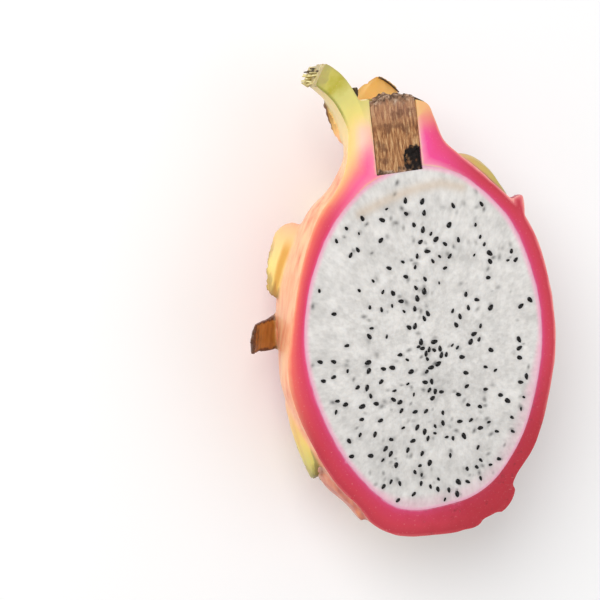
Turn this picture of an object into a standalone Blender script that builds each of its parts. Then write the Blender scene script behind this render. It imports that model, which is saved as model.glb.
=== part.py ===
"""Half a dragon fruit, cut lengthwise and lying on its back with the cut face up.

The rind is a thick skin, drawn up into a collar round the dry stalk, with
fleshy scales growing out of it. The white flesh fills the rind and carries
small black seeds. The woody stub of the stalk stands in the collar.

Lengths are in metres. +Y points to the stalk and +Z up. The origin is the
middle of the small flat spot that the fruit rests on, under its weight.
"""

import math
import random
from collections import namedtuple

import bmesh
import bpy
from mathutils import Matrix, Vector

MM = 0.001
UP = Vector((0, 0, 1))

# Height of the cut face, and where on the outlines below the fruit's weight bears
CUT_HEIGHT = 38.6 * MM
REST_X_MM = 0.5
REST_Y_MM = -1.5

# What stands between two pieces that touch in the real fruit
GAP = 0.3 * MM

# Outline of the skin at the cut, from the blossom end up to the rim of the
# collar: right side x, y, left side x, y, and the depth below the cut
SKIN_OUTLINE_MM = (
    (2.0, -57.2, 2.0, -57.2, 0.0),
    (11.0, -56.6, -8.0, -56.4, 9.0),
    (18.4, -54.2, -15.0, -52.8, 17.0),
    (24.0, -49.4, -21.0, -46.9, 24.0),
    (29.8, -42.4, -27.2, -40.2, 30.0),
    (35.4, -32.0, -32.6, -30.6, 35.2),
    (39.5, -20.5, -37.2, -19.6, 38.6),
    (41.9, -7.5, -39.4, -7.0, 40.0),
    (41.2, 5.6, -38.8, 5.6, 39.6),
    (38.2, 19.2, -36.4, 19.4, 36.6),
    (33.0, 31.0, -31.6, 32.2, 30.6),
    (24.4, 39.9, -25.6, 41.0, 23.0),
    (12.4, 46.9, -22.8, 48.0, 16.8),
    (5.6, 53.6, -22.4, 54.2, 14.4),
    (2.2, 60.0, -22.2, 60.2, 13.4),
    (-0.2, 64.8, -19.6, 65.0, 11.0),
    (-9.2, 66.0, -9.2, 66.0, 0.0),
)

# Outline of the flesh in the same way
FLESH_OUTLINE_MM = (
    (-1.0, -49.3, -1.0, -49.3, 0.0),
    (6.6, -48.6, -8.2, -48.0, 8.2),
    (14.2, -46.7, -14.4, -43.9, 15.5),
    (20.6, -43.0, -19.2, -39.0, 21.5),
    (26.6, -37.0, -24.0, -33.0, 27.0),
    (31.6, -29.0, -28.8, -24.6, 31.2),
    (35.2, -18.8, -32.8, -14.8, 34.4),
    (37.3, -6.0, -35.3, -4.4, 36.0),
    (36.7, 6.6, -35.4, 6.8, 35.6),
    (33.2, 19.2, -32.8, 19.2, 32.6),
    (27.2, 31.2, -27.4, 31.0, 26.4),
    (18.4, 40.0, -19.8, 39.8, 18.4),
    (9.0, 45.6, -12.6, 44.6, 10.0),
    (-3.0, 47.4, -3.0, 47.4, 0.0),
)

# The stub of the stalk, a round woody peg whose axis lies in the cut
STALK_FOOT_MM = (-7.0, 45.6)
STALK_TOP_MM = (-9.3, 66.2)
STALK_RADIUS = 7.0 * MM
STALK_SIDES = 26
STALK_LEVELS = 6
STALK_FLUTES = 0.3 * MM
STALK_RAGGED = 0.9 * MM
SOCKET_LENGTH = 2.0
STALK_PIT_MM = (-2.9, 49.8)
STALK_PIT_SIZE = Vector((2.4, 3.3, 1.9)) * MM

# Scales on the body. Each has its place along the outline, its turn round the
# fruit from the right edge (0) by the back (90) to the left edge (180), length,
# width and how far the tip stands off the skin, then its lean from the fruit's
# length, how late it leaves the skin (over 1) or how soon (under 1), and its
# twist, which swings one margin off the skin.
SCALE_ROWS_MM = {
    "upper_left": (9.85, 162, 19, 19, 2.4, 0, 0.8, 44),
    "side_left": (7.65, 143, 12.5, 10, 10.0, 78, 1.0, 0),
    "lower_left": (6.4, 164, 28, 17, 3.2, -4, 1.3, 28),
    "back_left": (5.7, 128, 22, 22, 5.0, 6, 1.6, 0),
    "shoulder_left": (11.2, 116, 20, 22, 5.4, -6, 1.5, 0),
    "shoulder_right": (12.7, 28, 19, 20, 7.0, 4, 1.1, 0),
    "stub_right": (11.0, 2, 7, 10, 2.6, 0, 0.9, 0),
    "upper_right": (9.9, 50, 22, 24, 5.6, -6, 1.5, 0),
    "belly": (9.4, 92, 20, 22, 0.8, 4, 1.5, 0),
    "side_right": (7.5, 27, 23, 24, 5.4, 8, 1.6, 0),
    "lower_right": (5.3, 56, 21, 21, 5.2, -8, 1.6, 0),
    "crown_right": (4.5, 3, 10, 14, 2.6, 0, 0.8, 0),
    "crown_low_right": (3.4, 8, 8, 12, 2.8, 0, 0.8, 0),
    "crown_back_right": (3.7, 44, 16, 18, 4.0, 0, 1.4, 0),
    "crown_back": (3.9, 92, 17, 19, 3.8, 4, 1.4, 0),
    "crown_left": (3.7, 146, 16, 19, 2.2, -4, 1.2, 10),
    "crown_end": (2.4, 78, 11, 15, 2.4, 0, 1.2, 0),
}

# Bracts of the collar: root, a point that it bends over, and tip, each below
# the cut by its third number, the side that its width runs along, its width
# at the root and the tip, and its thickness at the root and the tip
BRACT_ROWS_MM = {
    "tall_bract": (
        (-17.8, 52.0, 2.0),
        (-19.5, 67.5, 2.0),
        (-29.4, 73.0, 3.0),
        (0.05, 0.0, 1.0),
        (20.0, 14.0),
        (7.6, 6.4),
    ),
    "rear_bract": (
        (-9.6, 55.5, 12.0),
        (-9.0, 66.0, 14.5),
        (-7.4, 71.6, 13.4),
        (1.0, 0.1, 0.0),
        (19.0, 8.0),
        (3.2, 1.4),
    ),
    "side_bract": (
        (-17.6, 47.0, 9.5),
        (-23.4, 56.0, 13.0),
        (-23.6, 65.4, 12.4),
        (-0.62, 0.0, 0.78),
        (13.0, 6.5),
        (3.0, 1.2),
    ),
}

# How scales and bracts are shaped: thickness at the root and the tip, how deep
# the root sinks, how much the margins bend down, and how the outline tapers
SCALE_THICKNESS = (5.2 * MM, 1.2 * MM)
LEAST_THICKNESS = 0.8 * MM
SCALE_SINK = 3.0 * MM
SCALE_TIP_WIDTH = 2.6 * MM
SCALE_CUP = 0.2
BRACT_CUP = 0.1
TAPER = 1.6
MARGIN_THINNING = 0.5
ROOT_NARROWING = 0.3
ROOT_SHARE = 0.3
LEAST_BEND_RADIUS = 12 * MM

# The cushion of skin under each scale
SWELL_HEIGHT = 1.7 * MM
SWELL_ACROSS = 10.0 * MM
SWELL_ALONG = 12.0 * MM

# Seeds on the cut face
SEED_COUNT = 235
SEED_SIZE = Vector((1.95, 1.25, 0.9)) * MM
SEED_SUNK = (0.02 * MM, 0.16 * MM)
SEED_TILT = 0.2
SEED_SPREAD = 0.5
SEED_TAPER = 0.6
SEED_SPACING = 2.3 * MM
SEED_SPACING_HEART = 1.3 * MM
SEED_MARGIN = 2.2 * MM
SEED_TOP_MM = 40.0
SEED_HEART_MM = (3.0, -9.0)
SEED_HEART_SIZE = Vector((5.0, 15.0)) * MM
SEED_DENSITY = 0.5
SEED_RANDOM = 7

SKIN_SEGMENTS, SKIN_RINGS = 48, 34
FLESH_SEGMENTS, FLESH_RINGS = 40, 26
BLADE_ACROSS, BLADE_ALONG = 4, 6
SHARP_ANGLE = math.radians(40)


def at(x, y, below=0.0):
    """A point from its millimetres on the cut face and its depth below it."""
    return Vector(((x - REST_X_MM) * MM, (y - REST_Y_MM) * MM, CUT_HEIGHT - below * MM))


def outline(rows):
    """The rows as three lists: right side, left side and depth.

    Each list has one more value before and after it, taken from the other side,
    so that a curve through it runs on smoothly round both ends.
    """
    right = [at(row[0], row[1]) for row in rows]
    left = [at(row[2], row[3]) for row in rows]
    depth = [row[4] * MM for row in rows]
    return (
        [left[1], *right, left[-2]],
        [right[1], *left, right[-2]],
        [-depth[1], *depth, -depth[-2]],
    )


def smooth(values, place):
    """The value at a place on the curve through all but the end ones of the values."""
    index = min(max(int(place), 0), len(values) - 4)
    part = place - index
    before, start, end, after = values[index : index + 4]
    slope_in, slope_out = (end - before) * 0.5, (after - start) * 0.5
    return (
        start
        + slope_in * part
        + ((end - start) * 3 - slope_in * 2 - slope_out) * part**2
        + ((start - end) * 2 + slope_in + slope_out) * part**3
    )


def ring_point(lines, place, turn):
    """A point of the fruit: place counts the outline's rows, turn is an angle."""
    right, left, depth = (smooth(line, place) for line in lines)
    middle, half = (right + left) / 2, (right - left) / 2
    return middle + half * math.cos(turn) - UP * max(depth, 0.0) * math.sin(turn)


def frame_at(lines, place, turn):
    """Point, outward normal, direction to the stalk and its length for one row."""
    step = 0.02
    point = ring_point(lines, place, turn)
    onward = ring_point(lines, place + step, turn) - point
    around = ring_point(lines, place, turn + step) - point
    speed = onward.length / step
    onward.normalize()
    normal = around.cross(onward).normalized()
    return point, normal, onward, speed


Scale = namedtuple("Scale", "place turn length width stand lean rise twist")
SKIN = outline(SKIN_OUTLINE_MM)
FLESH = outline(FLESH_OUTLINE_MM)
SCALES = {name: Scale(*row) for name, row in SCALE_ROWS_MM.items()}


def swell(point):
    """How far the skin swells at a point, under the scales that it carries."""
    height = 0.0
    for scale in SCALES.values():
        root, _, onward, _ = frame_at(SKIN, scale.place + 0.25, math.radians(scale.turn))
        away = point - root
        along = away.dot(onward)
        across = (away - onward * along).length
        height += SWELL_HEIGHT * math.exp(
            -((along / SWELL_ALONG) ** 2) - (across / SWELL_ACROSS) ** 2
        )
    return height


def in_collection(obj, name):
    """Puts an object in a collection of that name, and in no other."""
    holder = bpy.data.collections.get(name)
    if holder is None:
        holder = bpy.data.collections.new(name)
        bpy.context.scene.collection.children.link(holder)
    holder.objects.link(obj)
    return obj


def face_outwards(bm):
    """Turns a closed mesh's faces outwards."""
    bmesh.ops.recalc_face_normals(bm, faces=bm.faces[:])
    if bm.calc_volume(signed=True) < 0:
        bmesh.ops.reverse_faces(bm, faces=bm.faces[:])


def object_from(bm, name, collection):
    mesh = bpy.data.meshes.new(name)
    face_outwards(bm)
    bm.to_mesh(mesh)
    bm.free()
    return in_collection(bpy.data.objects.new(name, mesh), collection)


def cutter(obj):
    """Marks an object as one that only cuts others."""
    obj.hide_render = True
    obj.display_type = "WIRE"
    return obj


def fruit_body(name, collection, lines, segments, rings, grow=0.0, swollen=False):
    """A closed body lofted along an outline, from a sphere whose poles are its ends."""
    bm = bmesh.new()
    bmesh.ops.create_uvsphere(bm, u_segments=segments, v_segments=rings, radius=1.0)
    last = len(lines[0]) - 3
    for vert in bm.verts:
        place = last * math.acos(max(-1.0, min(1.0, -vert.co.z))) / math.pi
        turn = math.atan2(-vert.co.y, vert.co.x)
        point = ring_point(lines, place, turn)
        if len(vert.link_edges) == segments:
            outward = Vector((0, vert.co.z, 0))
        else:
            _, outward, _, _ = frame_at(lines, place, turn)
        lift = grow + (swell(point) if swollen else 0.0)
        vert.co = point + outward * lift
    return object_from(bm, name, collection)


def slab(across, along):
    """A closed slab one unit each way, split into strips across and along."""
    bm = bmesh.new()
    bmesh.ops.create_cube(bm, size=1.0)
    for axis, strips in ((0, across), (1, along)):
        edges = [
            edge
            for edge in bm.edges
            if abs((edge.verts[0].co - edge.verts[1].co)[axis]) > 0.5
        ]
        bmesh.ops.subdivide_edges(bm, edges=edges, cuts=strips - 1, use_grid_fill=True)
    return bm


def blade(name, path, widths, thicknesses, cup):
    """A scale or bract: a slab bent along a path that gives point, side and normal."""
    bm = slab(BLADE_ACROSS, BLADE_ALONG)
    for vert in bm.verts:
        across, share, level = vert.co.x * 2, vert.co.y + 0.5, vert.co.z
        point, side, normal = path(share)
        taper = math.sqrt(max(1 - share**TAPER, 0.0))
        half = (widths[1] + (widths[0] - widths[1]) * taper) / 2
        half *= 1 - ROOT_NARROWING * max(1 - share / ROOT_SHARE, 0.0) ** 2
        thick = thicknesses[1] + (thicknesses[0] - thicknesses[1]) * (1 - share) ** TAPER
        thick = max(thick * (1 - MARGIN_THINNING * across**2), LEAST_THICKNESS)
        bend = cup * across**2 * half
        vert.co = point + side * across * half + normal * (level * thick - bend)
    return object_from(bm, name, "scales")


def body_scale(name, scale):
    """A scale that leaves the skin towards the blossom end, its root sunk in it."""
    turn, lean, twist = (math.radians(a) for a in (scale.turn, scale.lean, scale.twist))
    _, _, _, speed = frame_at(SKIN, scale.place, turn)
    radius = max(CUT_HEIGHT - ring_point(SKIN, scale.place, turn).z, LEAST_BEND_RADIUS)

    def path(share):
        run = scale.length * MM * share
        here = scale.place - run * math.cos(lean) / speed
        point, normal, onward, _ = frame_at(SKIN, here, turn + run * math.sin(lean) / radius)
        lift = -SCALE_SINK + (SCALE_SINK + scale.stand * MM) * share**scale.rise
        point += normal * (lift + SWELL_HEIGHT * (1 - share))
        side = normal.cross(onward).normalized()
        side = side * math.cos(lean) - onward * math.sin(lean)
        return (
            point,
            side * math.cos(twist) + normal * math.sin(twist),
            normal * math.cos(twist) - side * math.sin(twist),
        )

    widths = (scale.width * MM, SCALE_TIP_WIDTH)
    return blade(name, path, widths, SCALE_THICKNESS, SCALE_CUP)


def collar_bract(name, root, bend, tip, side, widths, thicknesses):
    """A bract of the collar, on a smooth bow from its root over a point to its tip."""
    root, bend, tip = at(*root), at(*bend), at(*tip)
    side = Vector(side).normalized()

    def path(share):
        point = root * (1 - share) ** 2 + bend * 2 * share * (1 - share) + tip * share**2
        onward = (bend - root) * (1 - share) + (tip - bend) * share
        normal = side.cross(onward).normalized()
        return point, side, normal

    widths = [width * MM for width in widths]
    thicknesses = [thickness * MM for thickness in thicknesses]
    return blade(name, path, widths, thicknesses, BRACT_CUP)


def peg(grow=0.0, length=1.0):
    """The stalk's round stub, or grown and longer the socket that it stands in."""
    foot = at(*STALK_FOOT_MM)
    axis = (at(*STALK_TOP_MM) - foot) * length
    bm = bmesh.new()
    bmesh.ops.create_cone(
        bm,
        cap_ends=True,
        segments=STALK_SIDES,
        radius1=STALK_RADIUS + grow,
        radius2=STALK_RADIUS + grow,
        depth=axis.length + 2 * grow,
    )
    turn = axis.to_track_quat("Z", "X").to_matrix().to_4x4()
    bmesh.ops.transform(
        bm, matrix=Matrix.Translation(foot + axis / 2) @ turn, verts=bm.verts
    )
    return bm


def box(name, low, high):
    """A cutter box between two corners."""
    bm = bmesh.new()
    bmesh.ops.create_cube(bm, size=1.0)
    size, middle = high - low, (high + low) / 2
    for vert in bm.verts:
        vert.co = Vector(c * s for c, s in zip(vert.co, size)) + middle
    return cutter(object_from(bm, name, "cutters"))


def cut(obj, tool, solver="EXACT"):
    """Takes a cutter out of an object."""
    modifier = obj.modifiers.new("cut by " + tool.name, "BOOLEAN")
    modifier.operation = "DIFFERENCE"
    modifier.solver = solver
    modifier.object = tool


def settle(obj):
    """Applies an object's modifiers to its mesh."""
    graph = bpy.context.evaluated_depsgraph_get()
    mesh = bpy.data.meshes.new_from_object(obj.evaluated_get(graph))
    obj.modifiers.clear()
    obj.data = mesh


def fuse(obj, collection):
    """Joins all of a collection's objects to an object, and removes them."""
    holder = bpy.data.collections[collection]
    modifier = obj.modifiers.new("fuse " + collection, "BOOLEAN")
    modifier.operation = "UNION"
    modifier.operand_type = "COLLECTION"
    modifier.collection = holder
    modifier.solver = "MANIFOLD"
    settle(obj)
    for grown in list(holder.objects):
        bpy.data.objects.remove(grown)
    bpy.data.collections.remove(holder)


def flesh_side(line, y):
    """The flesh's x at a height y on one side of the cut."""
    steps = 12
    curve = [smooth(line, i / steps) for i in range(steps * (len(line) - 3) + 1)]
    return min(curve, key=lambda point: abs(point.y - y)).x


def seed_spots():
    """Where seeds lie on the cut face, and which way each one points."""
    draw = random.Random(SEED_RANDOM)
    heart = at(*SEED_HEART_MM).xy
    low_y, high_y = FLESH[0][1].y + SEED_MARGIN, at(0, SEED_TOP_MM).y
    spots = []
    while len(spots) < SEED_COUNT:
        y = draw.uniform(low_y, high_y)
        right = flesh_side(FLESH[0], y) - SEED_MARGIN
        left = flesh_side(FLESH[1], y) + SEED_MARGIN
        if right <= left:
            continue
        spot = Vector((draw.uniform(left, right), y))
        away = spot - heart
        near = math.exp(
            -((away.x / SEED_HEART_SIZE.x) ** 2) - (away.y / SEED_HEART_SIZE.y) ** 2
        )
        spacing = SEED_SPACING + (SEED_SPACING_HEART - SEED_SPACING) * near
        if draw.random() > SEED_DENSITY + near:
            continue
        if any((spot - other).length < spacing for other, _ in spots):
            continue
        spots.append((spot, math.atan2(away.y, away.x) + draw.gauss(0, SEED_SPREAD)))
    return spots


def make_seeds():
    """Seeds half sunk in the cut face, each a small faceted drop."""
    draw = random.Random(SEED_RANDOM + 1)
    bm = bmesh.new()
    bmesh.ops.create_icosphere(bm, subdivisions=1, radius=0.5)
    for vert in bm.verts:
        vert.co.y *= 1 - SEED_TAPER * vert.co.x
    drop = bpy.data.meshes.new("seed")
    bm.to_mesh(drop)
    bm.free()
    for number, (spot, heading) in enumerate(seed_spots()):
        seed = bpy.data.objects.new(f"seed_{number}", drop)
        seed.location = (spot.x, spot.y, CUT_HEIGHT - draw.uniform(*SEED_SUNK))
        tilts = [draw.uniform(-SEED_TILT, SEED_TILT) for _ in range(2)]
        seed.rotation_euler = (*tilts, heading)
        seed.scale = SEED_SIZE * draw.uniform(0.85, 1.12)
        in_collection(seed, "seeds")


def rotten_pit(draw):
    """The cutter for the rotten hollow at the foot of the stub."""
    bm = bmesh.new()
    bmesh.ops.create_icosphere(bm, subdivisions=2, radius=1.0)
    for vert in bm.verts:
        rough = draw.uniform(0.82, 1.12)
        vert.co = Vector(c * s * rough for c, s in zip(vert.co, STALK_PIT_SIZE))
        vert.co += at(*STALK_PIT_MM)
    return cutter(object_from(bm, "rotten_pit", "cutters"))


def make_stalk(knife):
    """The dry woody stub, fluted along its length, ragged at its top."""
    draw = random.Random(SEED_RANDOM + 2)
    foot, top = at(*STALK_FOOT_MM), at(*STALK_TOP_MM)
    length, axis = (top - foot).length, (top - foot).normalized()
    bm = peg()
    sides = [e for e in bm.edges if abs((e.verts[0].co - e.verts[1].co).dot(axis)) > length / 2]
    bmesh.ops.subdivide_edges(bm, edges=sides, cuts=STALK_LEVELS - 1, use_grid_fill=True)
    for vert in bm.verts:
        along = (vert.co - foot).dot(axis)
        spoke = (vert.co - foot - axis * along).normalized()
        vert.co += spoke * STALK_FLUTES * draw.uniform(-1.0, 0.4)
        if along > length * 0.99:
            vert.co += axis * STALK_RAGGED * draw.uniform(-1.0, 0.6)
    ends = [face for face in bm.faces if len(face.verts) == STALK_SIDES]
    bmesh.ops.poke(bm, faces=ends)
    stalk = object_from(bm, "stalk", "dragon_fruit")
    cut(stalk, knife)
    cut(stalk, rotten_pit(draw))
    settle(stalk)
    return stalk


def make_flesh(knife, socket):
    """The white body with its seeds."""
    flesh = fruit_body(
        "flesh", "dragon_fruit", FLESH, FLESH_SEGMENTS, FLESH_RINGS, grow=-GAP / 2
    )
    cut(flesh, knife)
    settle(flesh)
    make_seeds()
    fuse(flesh, "seeds")
    cut(flesh, socket)
    settle(flesh)
    return flesh


def make_rind(knife, floor, socket):
    """The skin with its scales and collar, cut, hollowed and flattened below."""
    rind = fruit_body(
        "rind", "dragon_fruit", SKIN, SKIN_SEGMENTS, SKIN_RINGS, swollen=True
    )
    for name, scale in SCALES.items():
        body_scale(name, scale)
    for name, row in BRACT_ROWS_MM.items():
        collar_bract(name, *row)
    fuse(rind, "scales")
    cavity = fruit_body(
        "cavity", "cutters", FLESH, FLESH_SEGMENTS, FLESH_RINGS, grow=GAP / 2
    )
    for tool in (cutter(cavity), knife, floor, socket):
        cut(rind, tool, "MANIFOLD")
    settle(rind)
    return rind


def material(name, colour, roughness):
    made = bpy.data.materials.new(name)
    made.use_nodes = True
    shader = made.node_tree.nodes["Principled BSDF"]
    shader.inputs["Base Color"].default_value = (*colour, 1.0)
    shader.inputs["Roughness"].default_value = roughness
    shader.inputs["Metallic"].default_value = 0.0
    return made


def main():
    for old in list(bpy.data.objects):
        bpy.data.objects.remove(old)
    reach = 200 * MM
    knife = box("knife", Vector((-reach, -reach, CUT_HEIGHT)), Vector((reach, reach, reach)))
    floor = box("floor", Vector((-reach, -reach, -reach)), Vector((reach, reach, 0.0)))
    socket = cutter(object_from(peg(GAP, SOCKET_LENGTH), "socket", "cutters"))
    made = {
        make_rind(knife, floor, socket): material("rind", (0.72, 0.08, 0.13), 0.45),
        make_flesh(knife, socket): material("flesh", (0.80, 0.79, 0.77), 0.35),
        make_stalk(knife): material("stalk", (0.36, 0.20, 0.10), 0.85),
    }
    for obj, finish in made.items():
        obj.data.materials.clear()
        obj.data.materials.append(finish)
        obj.data.shade_smooth()
        obj.data.set_sharp_from_angle(angle=SHARP_ANGLE)


main()
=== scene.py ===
"""Half a dragon fruit, dressed: the rind with its scales, the moist flesh with
its seeds, and the dry stub of the stalk, each grown around its solid.

Lengths are in metres. +Y points to the stalk, +Z up, and the cut face is level.
"""

import math
import random
from collections import namedtuple

import bmesh
import bpy
from bpy.props import FloatProperty, FloatVectorProperty, IntProperty, PointerProperty
from mathutils import Matrix, Vector, noise
from mathutils.bvhtree import BVHTree
from mathutils.interpolate import poly_3d_calc
from mathutils.kdtree import KDTree


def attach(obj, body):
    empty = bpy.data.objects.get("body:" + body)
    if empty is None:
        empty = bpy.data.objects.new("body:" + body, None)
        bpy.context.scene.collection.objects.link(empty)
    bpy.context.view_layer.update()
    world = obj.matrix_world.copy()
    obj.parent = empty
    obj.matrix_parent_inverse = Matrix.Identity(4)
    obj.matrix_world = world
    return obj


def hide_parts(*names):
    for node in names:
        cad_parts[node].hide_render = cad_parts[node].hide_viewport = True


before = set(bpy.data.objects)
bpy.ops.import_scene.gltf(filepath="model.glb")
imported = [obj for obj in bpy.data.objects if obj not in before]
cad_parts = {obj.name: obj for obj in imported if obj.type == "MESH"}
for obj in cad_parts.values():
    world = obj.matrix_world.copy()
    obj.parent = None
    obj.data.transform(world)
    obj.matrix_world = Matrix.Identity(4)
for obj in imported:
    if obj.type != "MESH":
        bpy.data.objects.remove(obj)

bl_info = {
    "name": "Dragon fruit half",
    "version": (1, 0, 0),
    "blender": (4, 5, 0),
    "location": "3D View > Sidebar > Fruit",
    "description": "Grows half a dragon fruit, cut lengthwise, around its solids",
    "category": "Object",
}

MM = 0.001
UP = Vector((0, 0, 1))
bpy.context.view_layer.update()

# Height of the cut face, and the point of the outlines that lies over the origin
CUT_HEIGHT = 38.6 * MM
REST_X_MM = 0.5
REST_Y_MM = -1.5

# Outline of the skin at the cut, from the blossom end up to the rim of the
# collar: right side x, y, left side x, y, and the depth below the cut
SKIN_OUTLINE_MM = (
    (2.0, -57.1, 2.0, -57.1, 0.0),
    (11.6, -56.7, -8.0, -56.3, 9.0),
    (18.4, -54.2, -15.0, -52.8, 17.0),
    (25.3, -50.5, -20.4, -46.4, 24.0),
    (29.4, -42.2, -26.8, -39.8, 30.0),
    (35.9, -32.3, -32.6, -30.6, 35.2),
    (39.5, -20.5, -37.2, -19.6, 38.6),
    (41.9, -7.5, -39.4, -7.0, 40.0),
    (41.2, 5.6, -38.8, 5.6, 39.6),
    (38.2, 19.2, -36.4, 19.4, 36.6),
    (33.0, 31.0, -31.6, 32.2, 30.6),
    (24.4, 39.9, -25.6, 41.0, 23.0),
    (13.6, 48.4, -22.8, 48.0, 16.8),
    (6.6, 54.2, -22.4, 54.2, 14.4),
    (3.6, 60.4, -22.2, 60.2, 13.4),
    (0.6, 64.9, -19.6, 65.0, 11.0),
    (-9.2, 66.0, -9.2, 66.0, 0.0),
)

# Outline of the flesh in the same way
FLESH_OUTLINE_MM = (
    (-1.0, -49.6, -1.0, -49.6, 0.0),
    (6.8, -48.9, -8.2, -48.2, 8.2),
    (14.8, -47.2, -14.4, -43.9, 15.5),
    (21.6, -43.4, -19.2, -39.0, 21.5),
    (27.2, -37.2, -24.0, -33.0, 27.0),
    (31.9, -29.2, -28.8, -24.6, 31.2),
    (35.2, -18.8, -32.8, -14.8, 34.4),
    (37.3, -6.0, -35.3, -4.4, 36.0),
    (36.7, 6.6, -35.4, 6.8, 35.6),
    (33.2, 19.2, -32.8, 19.2, 32.6),
    (27.2, 31.2, -27.4, 31.0, 26.4),
    (18.4, 40.0, -19.8, 39.8, 18.4),
    (9.0, 45.6, -12.6, 44.6, 10.0),
    (-3.0, 47.4, -3.0, 47.4, 0.0),
)

# The stub of the stalk, a round woody peg whose axis lies in the cut
STALK_FOOT_MM = (-7.0, 45.6)
STALK_TOP_MM = (-9.3, 66.2)
STALK_RADIUS = 7.0 * MM
SOCKET_LENGTH = 2.0
TOP_CROWN, TOP_SLANT = 2.0 * MM, 0.3 * MM
PIT_FROM_WALL = 0.45 * MM
STALK_PIT_MM = (-2.6, 49.4)
STALK_PIT_SIZE = Vector((3.1, 3.5, 2.0)) * MM
STALK_FACETS = 110
STALK_CAP = 0.14
FLUTE_LENGTH, FLUTE_DEPTH, FLUTE_SINK = 9 * MM, 0.3 * MM, 0.6
CRUST_FROM, CRUST_SINK = 0.86, 0.2 * MM
CRUST_WAVES = ((3.2 * MM, 1.0 * MM), (1.1 * MM, 0.5 * MM))

# Scales on the body: place along the outline, turn round the fruit from the
# right edge (0) by the back (90) to the left edge (180), length, width, how far
# the tip stands off the skin, lean from the fruit's length, how late it leaves
# the skin, twist, and then how green and how dry its tip is, from 0 to 1, or
# -1 where it has grown into the skin and keeps its colours
SCALE_ROWS_MM = {
    "upper_left": (9.8, 162, 19, 20, 2.7, 0, 0.6, 44, 0.1, 0.45),
    "side_left": (7.65, 141, 14.5, 9.8, 9.8, 84, 1.0, 0, 0.0, 1.0),
    "lower_left": (6.45, 174, 28.6, 12, 3.2, -2, 1.25, 16, 0.8, 0.62),
    "back_left": (5.7, 128, 22, 22, 5.0, 6, 1.6, 0, 0.6, 0.5),
    "shoulder_left": (11.2, 116, 20, 22, 5.4, -6, 1.5, 0, 0.7, 0.3),
    "upper_right": (9.9, 50, 22, 24, 5.6, -6, 1.5, 0, 0.7, 0.4),
    "belly": (9.4, 92, 20, 22, 0.8, 4, 1.5, 0, 0.5, 0.3),
    "side_right": (7.5, 27, 23, 24, 5.4, 8, 1.6, 0, 0.8, 0.4),
    "lower_right": (5.3, 56, 21, 21, 5.2, -8, 1.6, 0, 0.6, 0.5),
    "crown_back_right": (3.7, 44, 16, 18, 4.0, 0, 1.4, 0, 0.5, 0.6),
    "crown_back": (3.9, 92, 17, 19, 3.8, 4, 1.4, 0, 0.5, 0.6),
    "crown_left": (4.3, 165, 22.0, 13, 0.9, -3, 0.55, 0, 0.0, -1.0),
    "crown_end": (2.4, 78, 11, 15, 2.4, 0, 1.2, 0, 0.3, 0.8),
}

# Bracts of the collar: root, a point that it bends over, and tip, each below
# the cut by its third number, the side that its width runs along, its width at
# the root and the tip, its thickness there, and how green and how dry it is
BRACT_ROWS_MM = {
    "tall_bract": (
        (-18.6, 52.0, 2.0), (-20.3, 67.2, 2.0), (-31.0, 72.6, 3.0), (0.05, 0.0, 1.0),
        (20.0, 13.0), (5.6, 7.2), (1.0, 0.5),
    ),
    "rear_bract": (
        (-9.7, 55.5, 12.0), (-9.4, 66.0, 14.5), (-7.1, 71.9, 13.6), (1.0, 0.1, 0.0),
        (23.0, 1.2), (3.2, 1.4), (0.1, 0.12),
    ),
    "side_bract": (
        (-18.4, 53.5, 9.0), (-21.3, 59.0, 10.0), (-22.4, 65.4, 10.5), (0.92, 0.0, 0.37),
        (6.2, 5.5), (2.2, 1.0), (0.0, 0.84),
    ),
    "shoulder_right": (
        (11.5, 47.7, 4.8), (19.1, 50.1, 4.8), (27.1, 37.2, 4.8), (0.0, 0.0, 1.0),
        (8.0, 5.0), (5.0, 2.4), (0.85, 0.0),
    ),
    "stub_right": (
        (30.6, 29.0, 1.0), (30.7, 34.0, 1.0), (29.4, 38.0, 1.0), (0.0, 0.0, 1.0),
        (7.0, 3.0), (2.2, 3.4), (0.0, -1.0),
    ),
    "crown_right": (
        (24.0, -52.0, 2.0), (27.7, -49.6, 2.0), (27.9, -45.4, 2.0), (0.0, 0.0, 1.0),
        (14.0, 9.0), (0.8, 2.8), (0.0, -1.0),
    ),
    "crown_low_right": (
        (12.4, -56.0, 2.0), (15.6, -55.6, 2.0), (17.7, -53.8, 2.0), (0.0, 0.0, 1.0),
        (12.0, 8.0), (0.8, 2.4), (0.0, -1.0),
    ),
}

# How scales and bracts are shaped: thickness at the root and the tip, how deep
# the root sinks, how much the margins bend down, and how the outline tapers
SCALE_THICKNESS = (5.2 * MM, 1.3 * MM)
LEAST_THICKNESS = 1.0 * MM
SCALE_SINK = 3.0 * MM
SCALE_TIP_WIDTH = 2.6 * MM
BLUNT_TIP_WIDTH = 5.0 * MM
SCALE_CUP = 0.12
BRACT_CUP = 0.1
TAPER = 1.6
ROUNDED, POINTED = 0.5, 0.75
POINTED_BELOW = 2 * MM
RAGGED = 2.2 * MM
MARGIN_THINNING = 0.5
MARGIN_WAVE = 0.07
MARGIN_WAVE_LENGTH = 4.0 * MM
ROOT_NARROWING = 0.3
ROOT_SHARE = 0.3
LEAST_BEND_RADIUS = 12 * MM

# The cushion of skin under each scale
SWELL_HEIGHT = 1.7 * MM
SWELL_ACROSS = 10.0 * MM
SWELL_ALONG = 12.0 * MM
SWELL_FROM_PLACE = 4.5

# A bare cushion between two scales on the left: place, turn and height
CHEEK = (8.6, 155, 2.4 * MM)

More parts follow.
